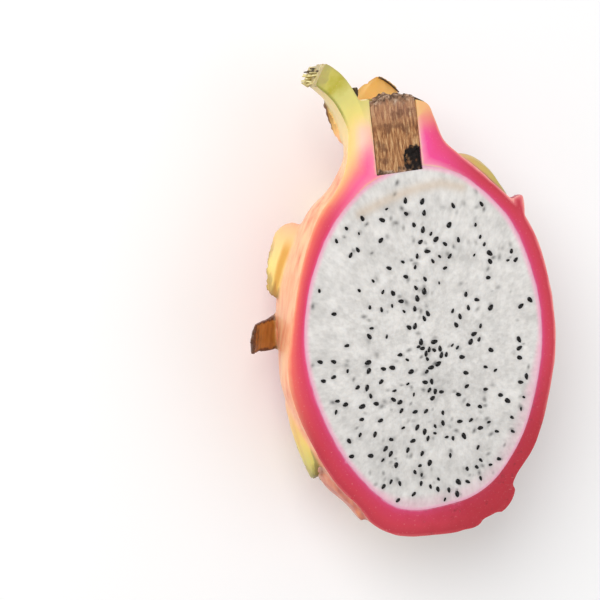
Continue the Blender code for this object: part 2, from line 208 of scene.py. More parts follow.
# Dried shreds that a bract frays into: how many there are, and their length,
# then where along, across and through the bract they start, how they lean, fan
# out and stray, how long each is, how they curl, and their width and thickness
FRAYS_MM = {"tall_bract": (20, 3.5), "side_bract": (4, 1.4)}
FRAY_START = 0.94
FRAY_ACROSS = (-0.35, 0.08)
FRAY_THROUGH = 0.44
FRAY_LEAN, FRAY_FAN, FRAY_STRAY = 0.42, 0.3, 0.1
FRAY_LENGTHS, FRAY_ROUNDING = (0.75, 1.0), 0.4
FRAY_CURL = 0.5 * MM
FRAY_DEAD = (0.25, 0.5)
FRAY_WIDTH_MM, FRAY_THICKNESS_MM = 2.2, 0.75
STRIP_TIP = (0.25, 0.45)
STRIP_CUP = 0.2
STRIP_PARTS = (4, 8)

# Dead, brown edges: three points of each one's bow, its width and thickness
DEAD_EDGES_MM = (
    ((-7.5, 71.7, 13.2), (-4.2, 70.5, 13.2), (-1.3, 67.5, 13.2), 1.4, 0.62),
    ((-5.0, 67.0, 2.0), (-2.2, 66.5, 2.0), (1.0, 64.9, 1.6), 2.0, 0.75),
    ((-20.2, 69.0, 1.0), (-19.2, 67.7, 1.0), (-19.8, 66.0, 1.0), 1.8, 1.7),
)

# How the skin is grown: facets of the source forms, and the rounding of the
# creases between the body and its scales
BODY_SEGMENTS, BODY_RINGS = 160, 120
FLESH_SEGMENTS, FLESH_RINGS = 120, 84
BLADE_ACROSS, BLADE_ALONG = 16, 24
TRIM_ABOVE = 2.5 * MM
CREASE_ANGLE = math.radians(-20)
CREASE_RINGS = 1
CREASE_ROUNDS = 5
SKIN_WAVES = ((7.0 * MM, 0.22 * MM), (2.2 * MM, 0.06 * MM))
VEIN_HEIGHT = 0.045 * MM
VEINS = 26
LEAF_RISE = (0.1 * MM, 0.9 * MM)
BLADE_RIM = 1.3 * MM

# Relief of the cut: broad waves that all bodies share, the pulp's own, and two
# grains of the stub, each as wide, as long and as deep as its numbers
CUT_WAVES = ((9.0 * MM, 0.10 * MM), (2.4 * MM, 0.03 * MM))
PULP_WAVES = ((1.3 * MM, 0.07 * MM),)
STALK_GRAINS_MM = ((0.7, 3.6, 0.34, 0), (1.7, 7.0, 0.5, 4))
REACH = 60 * MM

# Corners of the three knives, each past the body that it cuts, and the last
# one's cell
RIND_KNIFE_MM = ((-56, -64), (48, 82))
FLESH_KNIFE_MM = ((-38, -52), (40, 50))
STALK_KNIFE_MM = ((-19, 42), (3, 70))
STALK_CELL = 0.17 * MM

# What counts as cut rind: how level it is, and how near to the face, to the
# socket's wall and to the hollow's
CUT_LEVEL = 0.75
NEAR_FACE, NEAR_SOCKET, NEAR_HOLLOW = 0.07 * MM, 0.12 * MM, 0.1 * MM

# Seeds on the cut face: how many, how long, how wide and high for their length,
# the share of it that is sunk, and how they spread round the heart of the fruit
SEED_COUNT = 210
SEED_SHORT, SEED_LONG, SEED_USUAL = 1.1 * MM, 2.3 * MM, 2.2 * MM
SEED_WIDTH = 0.62
SEED_HEIGHT = 0.48
SEED_SUNK = (0.04, 0.14)
SEED_TILT = 0.2
SEED_TAPER = 0.5
SEED_SPREAD = 0.7
SEED_SPACING = 2.3 * MM
SEED_SPACING_HEART = 1.3 * MM
SEED_MARGIN = 2.2 * MM
SEED_TOP_MM = 38.0
SEED_HEART_SIZE = Vector((13.0, 24.0)) * MM
SEED_DENSITY = 0.32
SEED_RANDOM = 7

# Seeds that show faintly through the flesh, round a heart that is fullest
DEEP_SEEDS = 190
DEEP_SCATTER_MM = 3.2
DEEP_TURN = 0.6
DEEP_DARKNESS, DEEP_SIZES = (0.3, 0.95), (0.5, 0.95)
DEEP_REACH, DEEP_LENGTH, DEEP_WIDTH = 2.4 * MM, 1.0 * MM, 0.62 * MM
HEART_MM = (3.0, -9.0)

# Colours of the pulp by place: the halo of each seed, the pink rim, which is
# wider and fainter at the lower right, the grey core and the shade lower down
HALO, HALO_WIDTH = 0.4, 1.05 * MM
RIM_CLEAR = (0.5 * MM, 1.8 * MM)
RIM_REACH_MM, RIM_WIDER_MM, RIM_FAINTER = 1.8, 4.0, 0.6
RIM_LINE, RIM_LINE_REACH = 0.95, 1.6 * MM
LOWER_RIGHT, LOWER_RIGHT_SLOPE = (30 * MM, 66 * MM), 1.3
CORE_MM, CORE_WIDTH, CORE = (5.0, -15.0), 7 * MM, 0.22
LOW_SHADE, LOW_SHADE_REACH = 0.09, 50 * MM

# The creamy fold of the flesh under the stalk: its line, width, height and tint
FOLD_MM = ((-19.0, 34.5), (-13.0, 37.2), (-7.1, 39.5), (-1.0, 41.2), (5.3, 42.2), (12.0, 41.0))
FOLD_WIDTH = 1.5 * MM
FOLD_HEIGHT = 0.25 * MM
FOLD_TINT = 0.55

# The camera: its place from the middle of the cut face, its turns about X, Y
# and Z in degrees, and its lens
CAMERA_FROM_FACE_MM = (-260.07, 75.56, 557.72)
CAMERA_TURNS = (-5.9399, -21.8411, -0.3903)
CAMERA_LENS = 132.86

# Lamps: place in metres, size and power
LAMPS = {
    "key_light": ((-0.55, 0.45, 0.75), 0.7, 6.6),
    "fill_light": ((0.6, -0.2, 0.7), 0.9, 1.5),
}
ROOM_BRIGHTNESS = 0.54
FLOOR_HALF = 3.0

SHARP_ANGLE = math.radians(42)


def paint(code):
    """Linear colour and alpha from an sRGB hex code."""
    parts = [int(code[i : i + 2], 16) / 255 for i in (1, 3, 5)]
    linear = [p / 12.92 if p <= 0.04045 else ((p + 0.055) / 1.055) ** 2.4 for p in parts]
    return (*linear, 1.0)


def at(x, y, below=0.0):
    """A point from its millimetres on the cut face and its depth below it."""
    return Vector(((x - REST_X_MM) * MM, (y - REST_Y_MM) * MM, CUT_HEIGHT - below * MM))


def outline(rows):
    """The rows as three lists, each with one more value at either end to run on."""
    right = [at(row[0], row[1]) for row in rows]
    left = [at(row[2], row[3]) for row in rows]
    depth = [row[4] * MM for row in rows]
    return (
        [left[1], *right, left[-2]],
        [right[1], *left, right[-2]],
        [-depth[1], *depth, -depth[-2]],
    )


def smooth(values, place):
    """The value at a place on the curve through all but the end ones of the values."""
    index = min(max(int(place), 0), len(values) - 4)
    part = place - index
    before, start, end, after = values[index : index + 4]
    slope_in, slope_out = (end - before) * 0.5, (after - start) * 0.5
    return (
        start
        + slope_in * part
        + ((end - start) * 3 - slope_in * 2 - slope_out) * part**2
        + ((start - end) * 2 + slope_in + slope_out) * part**3
    )


def ring_point(lines, place, turn):
    """A point of the fruit: place counts the outline's rows, turn is an angle."""
    right, left, depth = (smooth(line, place) for line in lines)
    middle, half = (right + left) / 2, (right - left) / 2
    return middle + half * math.cos(turn) - UP * max(depth, 0.0) * math.sin(turn)


def frame_at(lines, place, turn):
    """Point, outward normal, direction to the stalk and its length for one row."""
    step = 0.02
    point = ring_point(lines, place, turn)
    onward = ring_point(lines, place + step, turn) - point
    around = ring_point(lines, place, turn + step) - point
    speed = onward.length / step
    onward.normalize()
    return point, around.cross(onward).normalized(), onward, speed


Scale = namedtuple("Scale", "place turn length width stand lean rise twist green dry")
SKIN = outline(SKIN_OUTLINE_MM)
FLESH = outline(FLESH_OUTLINE_MM)
SCALES = {name: Scale(*row) for name, row in SCALE_ROWS_MM.items()}
CUSHIONS = [
    (*frame_at(SKIN, place, math.radians(turn))[::2], height)
    for place, turn, height in (
        CHEEK,
        *((s.place + 0.25, s.turn, SWELL_HEIGHT) for s in SCALES.values() if s.place > SWELL_FROM_PLACE),
    )
]


def swell(point):
    """How far the skin swells at a point, under the scales that it carries."""
    swelling = 0.0
    for root, onward, height in CUSHIONS:
        away = point - root
        along = away.dot(onward)
        across = (away - onward * along).length
        swelling += height * math.exp(-((along / SWELL_ALONG) ** 2) - (across / SWELL_ACROSS) ** 2)
    return swelling


def waves(point, layers):
    """The height of layered noise at a point, each layer a wave length and a height."""
    return sum(noise.noise(point / length) * height for length, height in layers)


def ease(value, low, high):
    """A smooth step from 0 at low to 1 at high."""
    part = min(max((value - low) / (high - low), 0.0), 1.0)
    return part * part * (3 - 2 * part)


def face_outwards(bm):
    """Turns a closed mesh's faces outwards."""
    bmesh.ops.recalc_face_normals(bm, faces=bm.faces[:])
    if bm.calc_volume(signed=True) < 0:
        bmesh.ops.reverse_faces(bm, faces=bm.faces[:])


def object_from(bm, name):
    """An object of a closed mesh, in the scene's own collection."""
    face_outwards(bm)
    mesh = bpy.data.meshes.new(name)
    bm.to_mesh(mesh)
    bm.free()
    obj = bpy.data.objects.new(name, mesh)
    bpy.context.scene.collection.objects.link(obj)
    return obj


def pour(bm, whole):
    """Moves a mesh into a bigger one."""
    mesh = bpy.data.meshes.new("poured")
    bm.to_mesh(mesh)
    bm.free()
    whole.from_mesh(mesh)
    bpy.data.meshes.remove(mesh)


def settle(obj):
    """Applies an object's modifiers to its mesh."""
    graph = bpy.context.evaluated_depsgraph_get()
    mesh = bpy.data.meshes.new_from_object(obj.evaluated_get(graph))
    obj.modifiers.clear()
    obj.data = mesh


def carve(obj, *tools):
    """Takes closed tools out of an object, and removes them."""
    for tool in tools:
        modifier = obj.modifiers.new("cut by " + tool.name, "BOOLEAN")
        modifier.operation = "DIFFERENCE"
        modifier.solver = "MANIFOLD"
        modifier.object = tool
    settle(obj)
    for tool in tools:
        bpy.data.objects.remove(tool)


def keep_facts(mesh, columns):
    """Stores named numbers, one for each vertex, for the materials to read."""
    for name, values in columns.items():
        mesh.attributes.new(name, "FLOAT", "POINT").data.foreach_set("value", values)


class Surface:
    """Source forms that tell how far a point is from them, and the facts there."""

    def __init__(self):
        self.points, self.faces, self.facts = [], [], []

    def take(self, bm, facts):
        """Adds a mesh whose vertices have these facts."""
        start = len(self.points)
        self.points += [vert.co.copy() for vert in bm.verts]
        self.faces += [[vert.index + start for vert in face.verts] for face in bm.faces]
        self.facts += facts

    def close(self):
        self.tree = BVHTree.FromPolygons(self.points, self.faces)
        return self

    def near(self, point):
        """Distance from the nearest face, above 0 outside it, and the facts there."""
        spot, normal, index, distance = self.tree.find_nearest(point)
        corners = self.faces[index]
        weights = poly_3d_calc([self.points[corner] for corner in corners], spot)
        facts = [
            sum(weight * value for weight, value in zip(weights, values))
            for values in zip(*(self.facts[corner] for corner in corners))
        ]
        if (point - spot).dot(normal) < 0:
            distance = -distance
        return distance, facts


def fruit_body(lines, segments, rings, lift):
    """A closed body along an outline, warped from a sphere whose poles are its ends.

    Gives the mesh and, for each vertex, its place and the turn's cosine and sine.
    """
    bm = bmesh.new()
    bmesh.ops.create_uvsphere(bm, u_segments=segments, v_segments=rings, radius=1.0)
    last = len(lines[0]) - 3
    facts = []
    for vert in bm.verts:
        place = last * math.acos(max(-1.0, min(1.0, -vert.co.z))) / math.pi
        turn = math.atan2(-vert.co.y, vert.co.x)
        if len(vert.link_edges) == segments:
            point, outward = ring_point(lines, place, turn), Vector((0, vert.co.z, 0))
        else:
            point, outward, _, _ = frame_at(lines, place, turn)
        facts.append((place / last, math.cos(turn), math.sin(turn)))
        vert.co = point + outward * lift(point)
    face_outwards(bm)
    bm.verts.index_update()
    return bm, facts


def slab(across, along):
    """A closed slab one unit each way, split into strips across and along."""
    bm = bmesh.new()
    bmesh.ops.create_cube(bm, size=1.0)
    for axis, strips in ((0, across), (1, along)):
        edges = [
            edge
            for edge in bm.edges
            if abs((edge.verts[0].co - edge.verts[1].co)[axis]) > 0.5
        ]
        bmesh.ops.subdivide_edges(bm, edges=edges, cuts=strips - 1, use_grid_fill=True)
    return bm


def blade(path, widths, thicknesses, cup, look, length, strips=(BLADE_ACROSS, BLADE_ALONG)):
    """A scale or bract: a slab bent along a path, with its margins gently waved."""
    bm = slab(*strips)
    facts = []
    for vert in bm.verts:
        across, share, level = vert.co.x * 2, vert.co.y + 0.5, vert.co.z
        point, side, normal = path(share)
        taper = max(1 - share**TAPER, 0.0) ** (POINTED if widths[1] < POINTED_BELOW else ROUNDED)
        half = (widths[1] + (widths[0] - widths[1]) * taper) / 2
        half *= 1 - ROOT_NARROWING * max(1 - share / ROOT_SHARE, 0.0) ** 2
        wave_at = Vector((share * length / MARGIN_WAVE_LENGTH, across * 1.5, length / MM))
        half *= 1 + MARGIN_WAVE * 2 * noise.noise(wave_at) * share
        thick = thicknesses[1] + (thicknesses[0] - thicknesses[1]) * (1 - share) ** TAPER
        thick = max(thick * (1 - MARGIN_THINNING * across**2), min(LEAST_THICKNESS, thicknesses[1]))
        bend = cup * across**2 * half * (1 + 0.8 * noise.noise(wave_at + UP * 9))
        rag = noise.noise(Vector((across * 4.5, level * 5, length / MM))) - 0.25
        onward = normal.cross(side) * rag * RAGGED * max(look[1], 0.0) * ease(share, 0.7, 1.0)
        vert.co = point + onward + side * across * half + normal * (level * thick - bend)
        facts.append((share, across, level * 2, *look))
    face_outwards(bm)
    bm.verts.index_update()
    return bm, facts


def body_scale(scale):
    """A scale that leaves the skin towards the blossom end, its root sunk in it."""
    turn, lean, twist = (math.radians(a) for a in (scale.turn, scale.lean, scale.twist))
    _, _, _, speed = frame_at(SKIN, scale.place, turn)
    radius = max(CUT_HEIGHT - ring_point(SKIN, scale.place, turn).z, LEAST_BEND_RADIUS)

    def path(share):
        run = scale.length * MM * share
        here = scale.place - run * math.cos(lean) / speed
        point, normal, onward, _ = frame_at(SKIN, here, turn + run * math.sin(lean) / radius)
        lift = -SCALE_SINK + (SCALE_SINK + scale.stand * MM) * share**scale.rise
        point += normal * (lift + SWELL_HEIGHT * (1 - share))
        side = normal.cross(onward).normalized()
        side = side * math.cos(lean) - onward * math.sin(lean)
        return (
            point,
            side * math.cos(twist) + normal * math.sin(twist),
            normal * math.cos(twist) - side * math.sin(twist),
        )

    widths = (scale.width * MM, SCALE_TIP_WIDTH + BLUNT_TIP_WIDTH * scale.dry**4)
    look = (scale.green, scale.dry)
    return blade(path, widths, SCALE_THICKNESS, SCALE_CUP, look, scale.length * MM)


def bract_path(root, bend, tip, side):
    """The bow of a bract, from its root over a point to its tip."""
    root, bend, tip = at(*root), at(*bend), at(*tip)
    side = Vector(side).normalized()

    def path(share):
        point = root * (1 - share) ** 2 + bend * 2 * share * (1 - share) + tip * share**2
        onward = (bend - root) * (1 - share) + (tip - bend) * share
        return point, side, side.cross(onward).normalized()

    return path


def collar_bract(root, bend, tip, side, widths, thicknesses, look):
    """A bract of the collar."""
    widths = [width * MM for width in widths]
    thicknesses = [thickness * MM for thickness in thicknesses]
    length = (at(*tip) - at(*root)).length
    return blade(
        bract_path(root, bend, tip, side), widths, thicknesses, BRACT_CUP, look, length
    )


def stalk_axes():
    """Foot of the stub, its direction and its length."""
    foot = at(*STALK_FOOT_MM)
    run = at(*STALK_TOP_MM) - foot
    return foot, run.normalized(), run.length


def socket():
    """The straight hole that the stub stands in, open at its top."""
    foot, axis, length = stalk_axes()
    bm = bmesh.new()
    bmesh.ops.create_cone(
        bm,
        cap_ends=True,
        segments=96,
        radius1=STALK_RADIUS,
        radius2=STALK_RADIUS,
        depth=length * SOCKET_LENGTH,
    )
    turn = axis.to_track_quat("Z", "X").to_matrix().to_4x4()
    middle = foot + axis * length * SOCKET_LENGTH / 2
    bmesh.ops.transform(bm, matrix=Matrix.Translation(middle) @ turn, verts=bm.verts)
    return object_from(bm, "socket")


def off_stalk(point):
    """Distance of a point beside the stub from its wall."""
    foot, axis, _ = stalk_axes()
    away = point - foot
    along = away.dot(axis)
    if along < 0:
        return math.inf
    return abs((away - axis * along).length - STALK_RADIUS)


def face_height(point):
    """Height of the cut face with its broad waves, which all three bodies share."""
    return CUT_HEIGHT + waves(Vector((point.x, point.y, 0)), CUT_WAVES)


def knife(corners_mm, cell, relief):
    """A cutter whose lower side is a fine grid with the relief of the cut."""
    bm = bmesh.new()
    low, high = (at(*corner).xy for corner in corners_mm)
    size = high - low
    cells = [round(side / cell) for side in size]
    bmesh.ops.create_grid(bm, x_segments=cells[0], y_segments=cells[1], size=0.5)
    grown = bmesh.ops.extrude_face_region(bm, geom=bm.faces[:])["geom"]
    lid = {item for item in grown if isinstance(item, bmesh.types.BMVert)}
    for vert in bm.verts:
        x, y = (vert.co.x + 0.5) * size.x, (vert.co.y + 0.5) * size.y
        point = Vector((low.x + x, low.y + y, 0))
        point.z = CUT_HEIGHT + REACH if vert in lid else relief(point)
        vert.co = point
    return object_from(bm, "knife")


def floor_tool():
    """A cutter that takes off all that would lie under the flat spot."""
    bm = bmesh.new()
    bmesh.ops.create_cube(bm, size=REACH * 4)
    bmesh.ops.translate(bm, vec=-UP * REACH * 2, verts=bm.verts)
    return object_from(bm, "floor_tool")


def grow_skin(obj, veined):
    """Rounds the creases where scales leave the body, and gives the skin its relief."""
    bm = bmesh.new()
    bm.from_mesh(obj.data)
    creased = {
        vert
        for edge in bm.edges
        if edge.is_manifold and edge.calc_face_angle_signed() < CREASE_ANGLE
        for vert in edge.verts
    }
    for _ in range(CREASE_RINGS):
        creased |= {edge.other_vert(vert) for vert in creased for edge in vert.link_edges}
    creased = list(creased)
    for _ in range(CREASE_ROUNDS):
        bmesh.ops.smooth_vert(
            bm, verts=creased, factor=0.5, use_axis_x=True, use_axis_y=True, use_axis_z=True
        )
    bm.normal_update()
    shifts = []
    for vert in bm.verts:
        lift = waves(vert.co, SKIN_WAVES)
        if vert.co.z > 0:
            off, (share, across, *_) = veined.near(vert.co)
            if abs(off) < VEIN_HEIGHT * 8:
                lift += VEIN_HEIGHT * math.sin(across * VEINS / 2 + share * 3) * ease(share, 0.1, 0.5)
        shifts.append(vert.normal * lift)
    for vert, shift in zip(bm.verts, shifts):
        vert.co += shift
    bm.to_mesh(obj.data)
    bm.free()


RIND_FACTS = (
    "band", "along", "side", "under", "leaf", "share", "across", "face", "green", "dry", "leafcut",
)


def rind_facts(mesh, body, blades, flesh):
    """What the rind's materials need to know at each vertex."""
    rows = []
    for vertex in mesh.vertices:
        point = vertex.co
        off, (along, side, under) = body.near(point)
        in_blade, (share, across, level, green, dry) = blades.near(point)
        inner = min(abs(flesh.tree.find_nearest(point)[3]), off_stalk(point))
        outer = max(-off, 0.0) + max(-in_blade, 0.0) * (dry < -0.5)
        band = inner / max(inner + outer, 1e-6)
        level *= 1 - ease(-in_blade, 0.0, BLADE_RIM)
        leafcut = ease(green, 0.9, 1.0) * ease(share, 0.15, 0.5)
        leaf = ease(off, *LEAF_RISE) * ease(dry, -1.0, 0.0)
        rows.append((band, along, side, under, leaf, share, across, level, green, dry, leafcut))
    return dict(zip(RIND_FACTS, zip(*rows)))


def shade(mesh):
    """Smooth shading, with the sharp edges of the cut kept."""
    mesh.shade_smooth()
    mesh.set_sharp_from_angle(angle=SHARP_ANGLE)


def wear(obj, *materials):
    """Puts materials on a piece."""
    obj.data.materials.clear()
    for finish in materials:
        obj.data.materials.append(finish)


def flesh_side(line, y):
    """The flesh's x at a height y on one side of the cut."""
    steps = 12
    curve = [smooth(line, i / steps) for i in range(steps * (len(line) - 3) + 1)]
    return min(curve, key=lambda point: abs(point.y - y)).x


def seed_spots():
    """Where each seed lies on the cut face, which way it points, and its length."""
    draw = random.Random(SEED_RANDOM)
    heart = at(*HEART_MM).xy
    low_y, high_y = FLESH[0][1].y + SEED_MARGIN, at(0, SEED_TOP_MM).y
    spots = []
    while len(spots) < SEED_COUNT:
        y = draw.uniform(low_y, high_y)
        right = flesh_side(FLESH[0], y) - SEED_MARGIN
        left = flesh_side(FLESH[1], y) + SEED_MARGIN
        if right <= left:
            continue
        spot = Vector((draw.uniform(left, right), y))
        away = spot - heart
        near = math.exp(-((away.x / SEED_HEART_SIZE.x) ** 2) - (away.y / SEED_HEART_SIZE.y) ** 2)
        spacing = SEED_SPACING + (SEED_SPACING_HEART - SEED_SPACING) * near
        if draw.random() > SEED_DENSITY + near:
            continue
        if any((spot - other).length < spacing for other, *_ in spots):
            continue
        heading = math.atan2(away.y, away.x) + draw.gauss(0, SEED_SPREAD)
        spots.append((spot, heading, draw.triangular(SEED_SHORT, SEED_LONG, SEED_USUAL)))
    return spots


def add(tree, kind, inputs=(), ramp=(), **settings):
    """Adds a node with its settings, its ramp's stops, and its inputs' values or links."""
    node = tree.nodes.new("ShaderNode" + kind)
    for name, value in settings.items():
        setattr(node, name, value)
    for place, _ in ramp[1:-1]:
        node.color_ramp.elements.new(place)
    for stop, (place, colour) in zip(node.color_ramp.elements if ramp else (), ramp):
        stop.position = place
        stop.color = paint(colour) if isinstance(colour, str) else (*(colour,) * 3, 1.0)
    for name, value in dict(inputs).items():
        socket = node.inputs[name]
        if isinstance(value, bpy.types.NodeSocket):
            tree.links.new(value, socket)
        else:
            socket.default_value = value
    return node


def start_material(name):
    """A material with only its shader and output, and both of those."""
    made = bpy.data.materials.new(name)
    made.use_nodes = True
    tree = made.node_tree
    return made, tree, tree.nodes["Principled BSDF"]


def finish_shader(tree, shader, values, links, tint=(1, 1, 1)):
    """Sets the shader's own values, then links what varies, its colour under the user's tint."""
    if "Base Color" in links:
        tinted = {0: 1.0, 6: links["Base Color"], 7: (*tint, 1.0)}
        mixed = add(tree, "Mix", tinted, data_type="RGBA", blend_type="MULTIPLY").outputs[2]
        links["Base Color"] = mixed
    for name, value in values.items():
        shader.inputs[name].default_value = value
    for name, socket in links.items():
        tree.links.new(socket, shader.inputs[name])


def facts_of(tree, *names):
    """The piece's own numbers, by name."""
    return {name: add(tree, "Attribute", attribute_name=name).outputs["Fac"] for name in names}


def layered(tree, colour, layers):
    """Lays colours over a first one, each through its own mask."""
    for mask, over in layers:
        colour = add(tree, "Mix", {0: mask, 6: colour, 7: over}, data_type="RGBA").outputs[2]
    return colour


def masks(tree, *steps):
    """Smooth masks, each from a value that rises from one number to another."""
    return [
        add(
            tree,
            "MapRange",
            {0: value, 1: low, 2: high, 3: 0.0, 4: full},
            interpolation_type="SMOOTHSTEP",
        ).outputs[0]
        for value, low, high, full in steps
    ]


# Colours of the cut from the flesh out to the skin, for each side of the fruit; the darker red of the right
# and low sides towards the skin is partly painted shade, on the side away from the light
CUT_RAMPS = {
    "right": (
        (0.0, "#e58aa8"), (0.08, "#d43f74"), (0.25, "#cf2e58"), (0.55, "#cb2c47"), (0.8, "#c22c40"),
        (0.9, "#d9616a"), (1.0, "#f0a69c"),
    ),
    "left": (
        (0.0, "#f08cae"), (0.08, "#e04074"), (0.25, "#d93658"), (0.5, "#e04a58"), (0.78, "#f06c5e"),
        (1.0, "#fbaf84"),
    ),
    "low": (
        (0.0, "#e084a4"), (0.07, "#cf3a6c"), (0.25, "#cb2a52"), (0.6, "#c82a42"), (0.9, "#ba2438"),
        (1.0, "#c8585c"),
    ),
    "neck_right": (
        (0.0, "#f2c2a8"), (0.08, "#f58cb0"), (0.3, "#ef4896"), (0.65, "#e9427f"), (0.9, "#df4470"),
        (1.0, "#f0a08c"),
    ),
    "neck_low": (
        (0.0, "#f6b49c"), (0.08, "#fb80a4"), (0.3, "#fb6498"), (0.55, "#f97c88"), (0.8, "#fbac80"),
        (1.0, "#f6d08e"),
    ),
    "neck_mid": (
        (0.0, "#f0c090"), (0.12, "#fbc2ac"), (0.45, "#fdd0bc"), (0.75, "#fad894"), (1.0, "#f3d684"),
    ),
    "neck_top": (
        (0.0, "#e9bf8a"), (0.12, "#f5d89c"), (0.45, "#f7dd86"), (0.8, "#f1da7c"), (1.0, "#e6d276"),
    ),
}
BRACT_RAMP = (
    (0.15, "#f2d878"), (0.4, "#e4d67a"), (0.62, "#d4cc76"), (0.78, "#b8ac34"), (0.88, "#c8be5c"),
    (1.0, "#b4a860"),
)


def cut_rind_material(colours):
    """Fresh-cut rind: firm wet tissue, so light goes a little way in and it gleams."""
    made, tree, shader = start_material("fresh_cut_rind")
    f = facts_of(tree, "band", "along", "side", "share", "face", "leafcut")
    place = add(tree, "TexCoord").outputs["Object"]
    x = add(tree, "SeparateXYZ", {0: place}).outputs[0]
    blotch = add(tree, "TexNoise", {"Vector": place, "Scale": 260.0, "Detail": 4.0}).outputs[0]
    fine = add(tree, "TexNoise", {"Vector": place, "Scale": 1500.0, "Detail": 3.0}).outputs[0]
    stain = {"Vector": place, "Scale": 420.0, "Detail": 5.0, "Roughness": 0.65}
    stains = add(tree, "TexNoise", stain).outputs[0]
    wobble = add(tree, "Math", {0: blotch, 1: 0.12, 2: -0.06}, operation="MULTIPLY_ADD").outputs[0]
    band = add(tree, "Math", {0: f["band"], 1: wobble}, operation="ADD").outputs[0]
    ramps = {
        name: add(tree, "ValToRGB", {0: band}, ramp=stops).outputs[0]
        for name, stops in CUT_RAMPS.items()
    }
    patchy = add(tree, "Math", {0: blotch, 1: 0.3, 2: f["share"]}, operation="MULTIPLY_ADD").outputs[0]
    patchy = add(tree, "Math", {0: patchy, 1: 0.15}, operation="SUBTRACT").outputs[0]
    bract = add(tree, "ValToRGB", {0: patchy}, ramp=BRACT_RAMP).outputs[0]
    rising = add(tree, "Math", {0: f["band"], 1: 0.06, 2: f["along"]}, operation="MULTIPLY_ADD").outputs[0]
    rightwards = add(tree, "Math", {0: blotch, 1: 0.02, 2: x}, operation="MULTIPLY_ADD").outputs[0]
    is_left = masks(tree, (x, 0.0, -0.008, 1.0))[0]
    neck_at = add(tree, "Math", {0: is_left, 1: 0.09, 2: f["along"]}, operation="MULTIPLY_ADD").outputs[0]
    (to_left, to_low, low_right, to_neck, to_mid, to_top, to_tip, left_rim, right_rim, stained) = masks(
        tree,
        (f["side"], 0.45, -0.45, 1.0),
        (f["along"], 0.46, 0.3, 1.0),
        (rightwards, 0.0, 0.03, 0.8),
        (neck_at, 0.71, 0.82, 1.0),
        (rising, 0.77, 0.85, 1.0),
        (f["along"], 0.83, 0.92, 1.0),
        (f["along"], 0.83, 0.94, 1.0),
        (f["face"], 0.25, 0.95, 0.85),
        (f["face"], -0.5, -0.98, 0.3),
        (stains, 0.56, 0.7, 1.0),
    )
    # Painted shade: deep red laid over the lower right of the band, the side away from the light, with dark
    # stains flecked into it
    low = layered(tree, ramps["low"], ((low_right, paint("#ac0020")),))
    flecks = add(tree, "Math", {0: stained, 1: low_right}, operation="MULTIPLY").outputs[0]
    low = layered(tree, low, ((flecks, paint("#7a0814")),))
    neck_left = layered(
        tree, ramps["neck_low"], ((to_mid, ramps["neck_mid"]), (to_top, ramps["neck_top"]))
    )
    neck_right = layered(tree, ramps["neck_right"], ((to_tip, paint("#ecb478")),))
    neck = layered(tree, neck_right, ((is_left, neck_left),))
    bract = layered(tree, bract, ((left_rim, paint("#8c8a34")), (right_rim, paint("#a4a06a"))))
    colour = layered(
        tree,
        ramps["right"],
        ((to_left, ramps["left"]), (to_low, low), (to_neck, neck), (f["leafcut"], bract)),
    )
    speckle = masks(tree, (fine, 0.6, 0.8, 0.2))[0]
    colour = layered(tree, colour, ((speckle, paint("#f3b9b4")),))
    relief = add(tree, "Bump", {"Strength": 0.3, "Distance": 0.00015, "Height": fine}).outputs[0]
    finish_shader(
        tree,
        shader,
        {
            "Roughness": 0.42,
            "Subsurface Weight": 0.3,
            "Subsurface Radius": (1.0, 0.35, 0.3),
            "Subsurface Scale": 0.001,
            "Specular IOR Level": 0.42,
            "Coat Weight": 0.1,
            "Coat Roughness": 0.2,
        },
        {"Base Color": colour, "Normal": relief},
        colours.cut,
    )
    return made


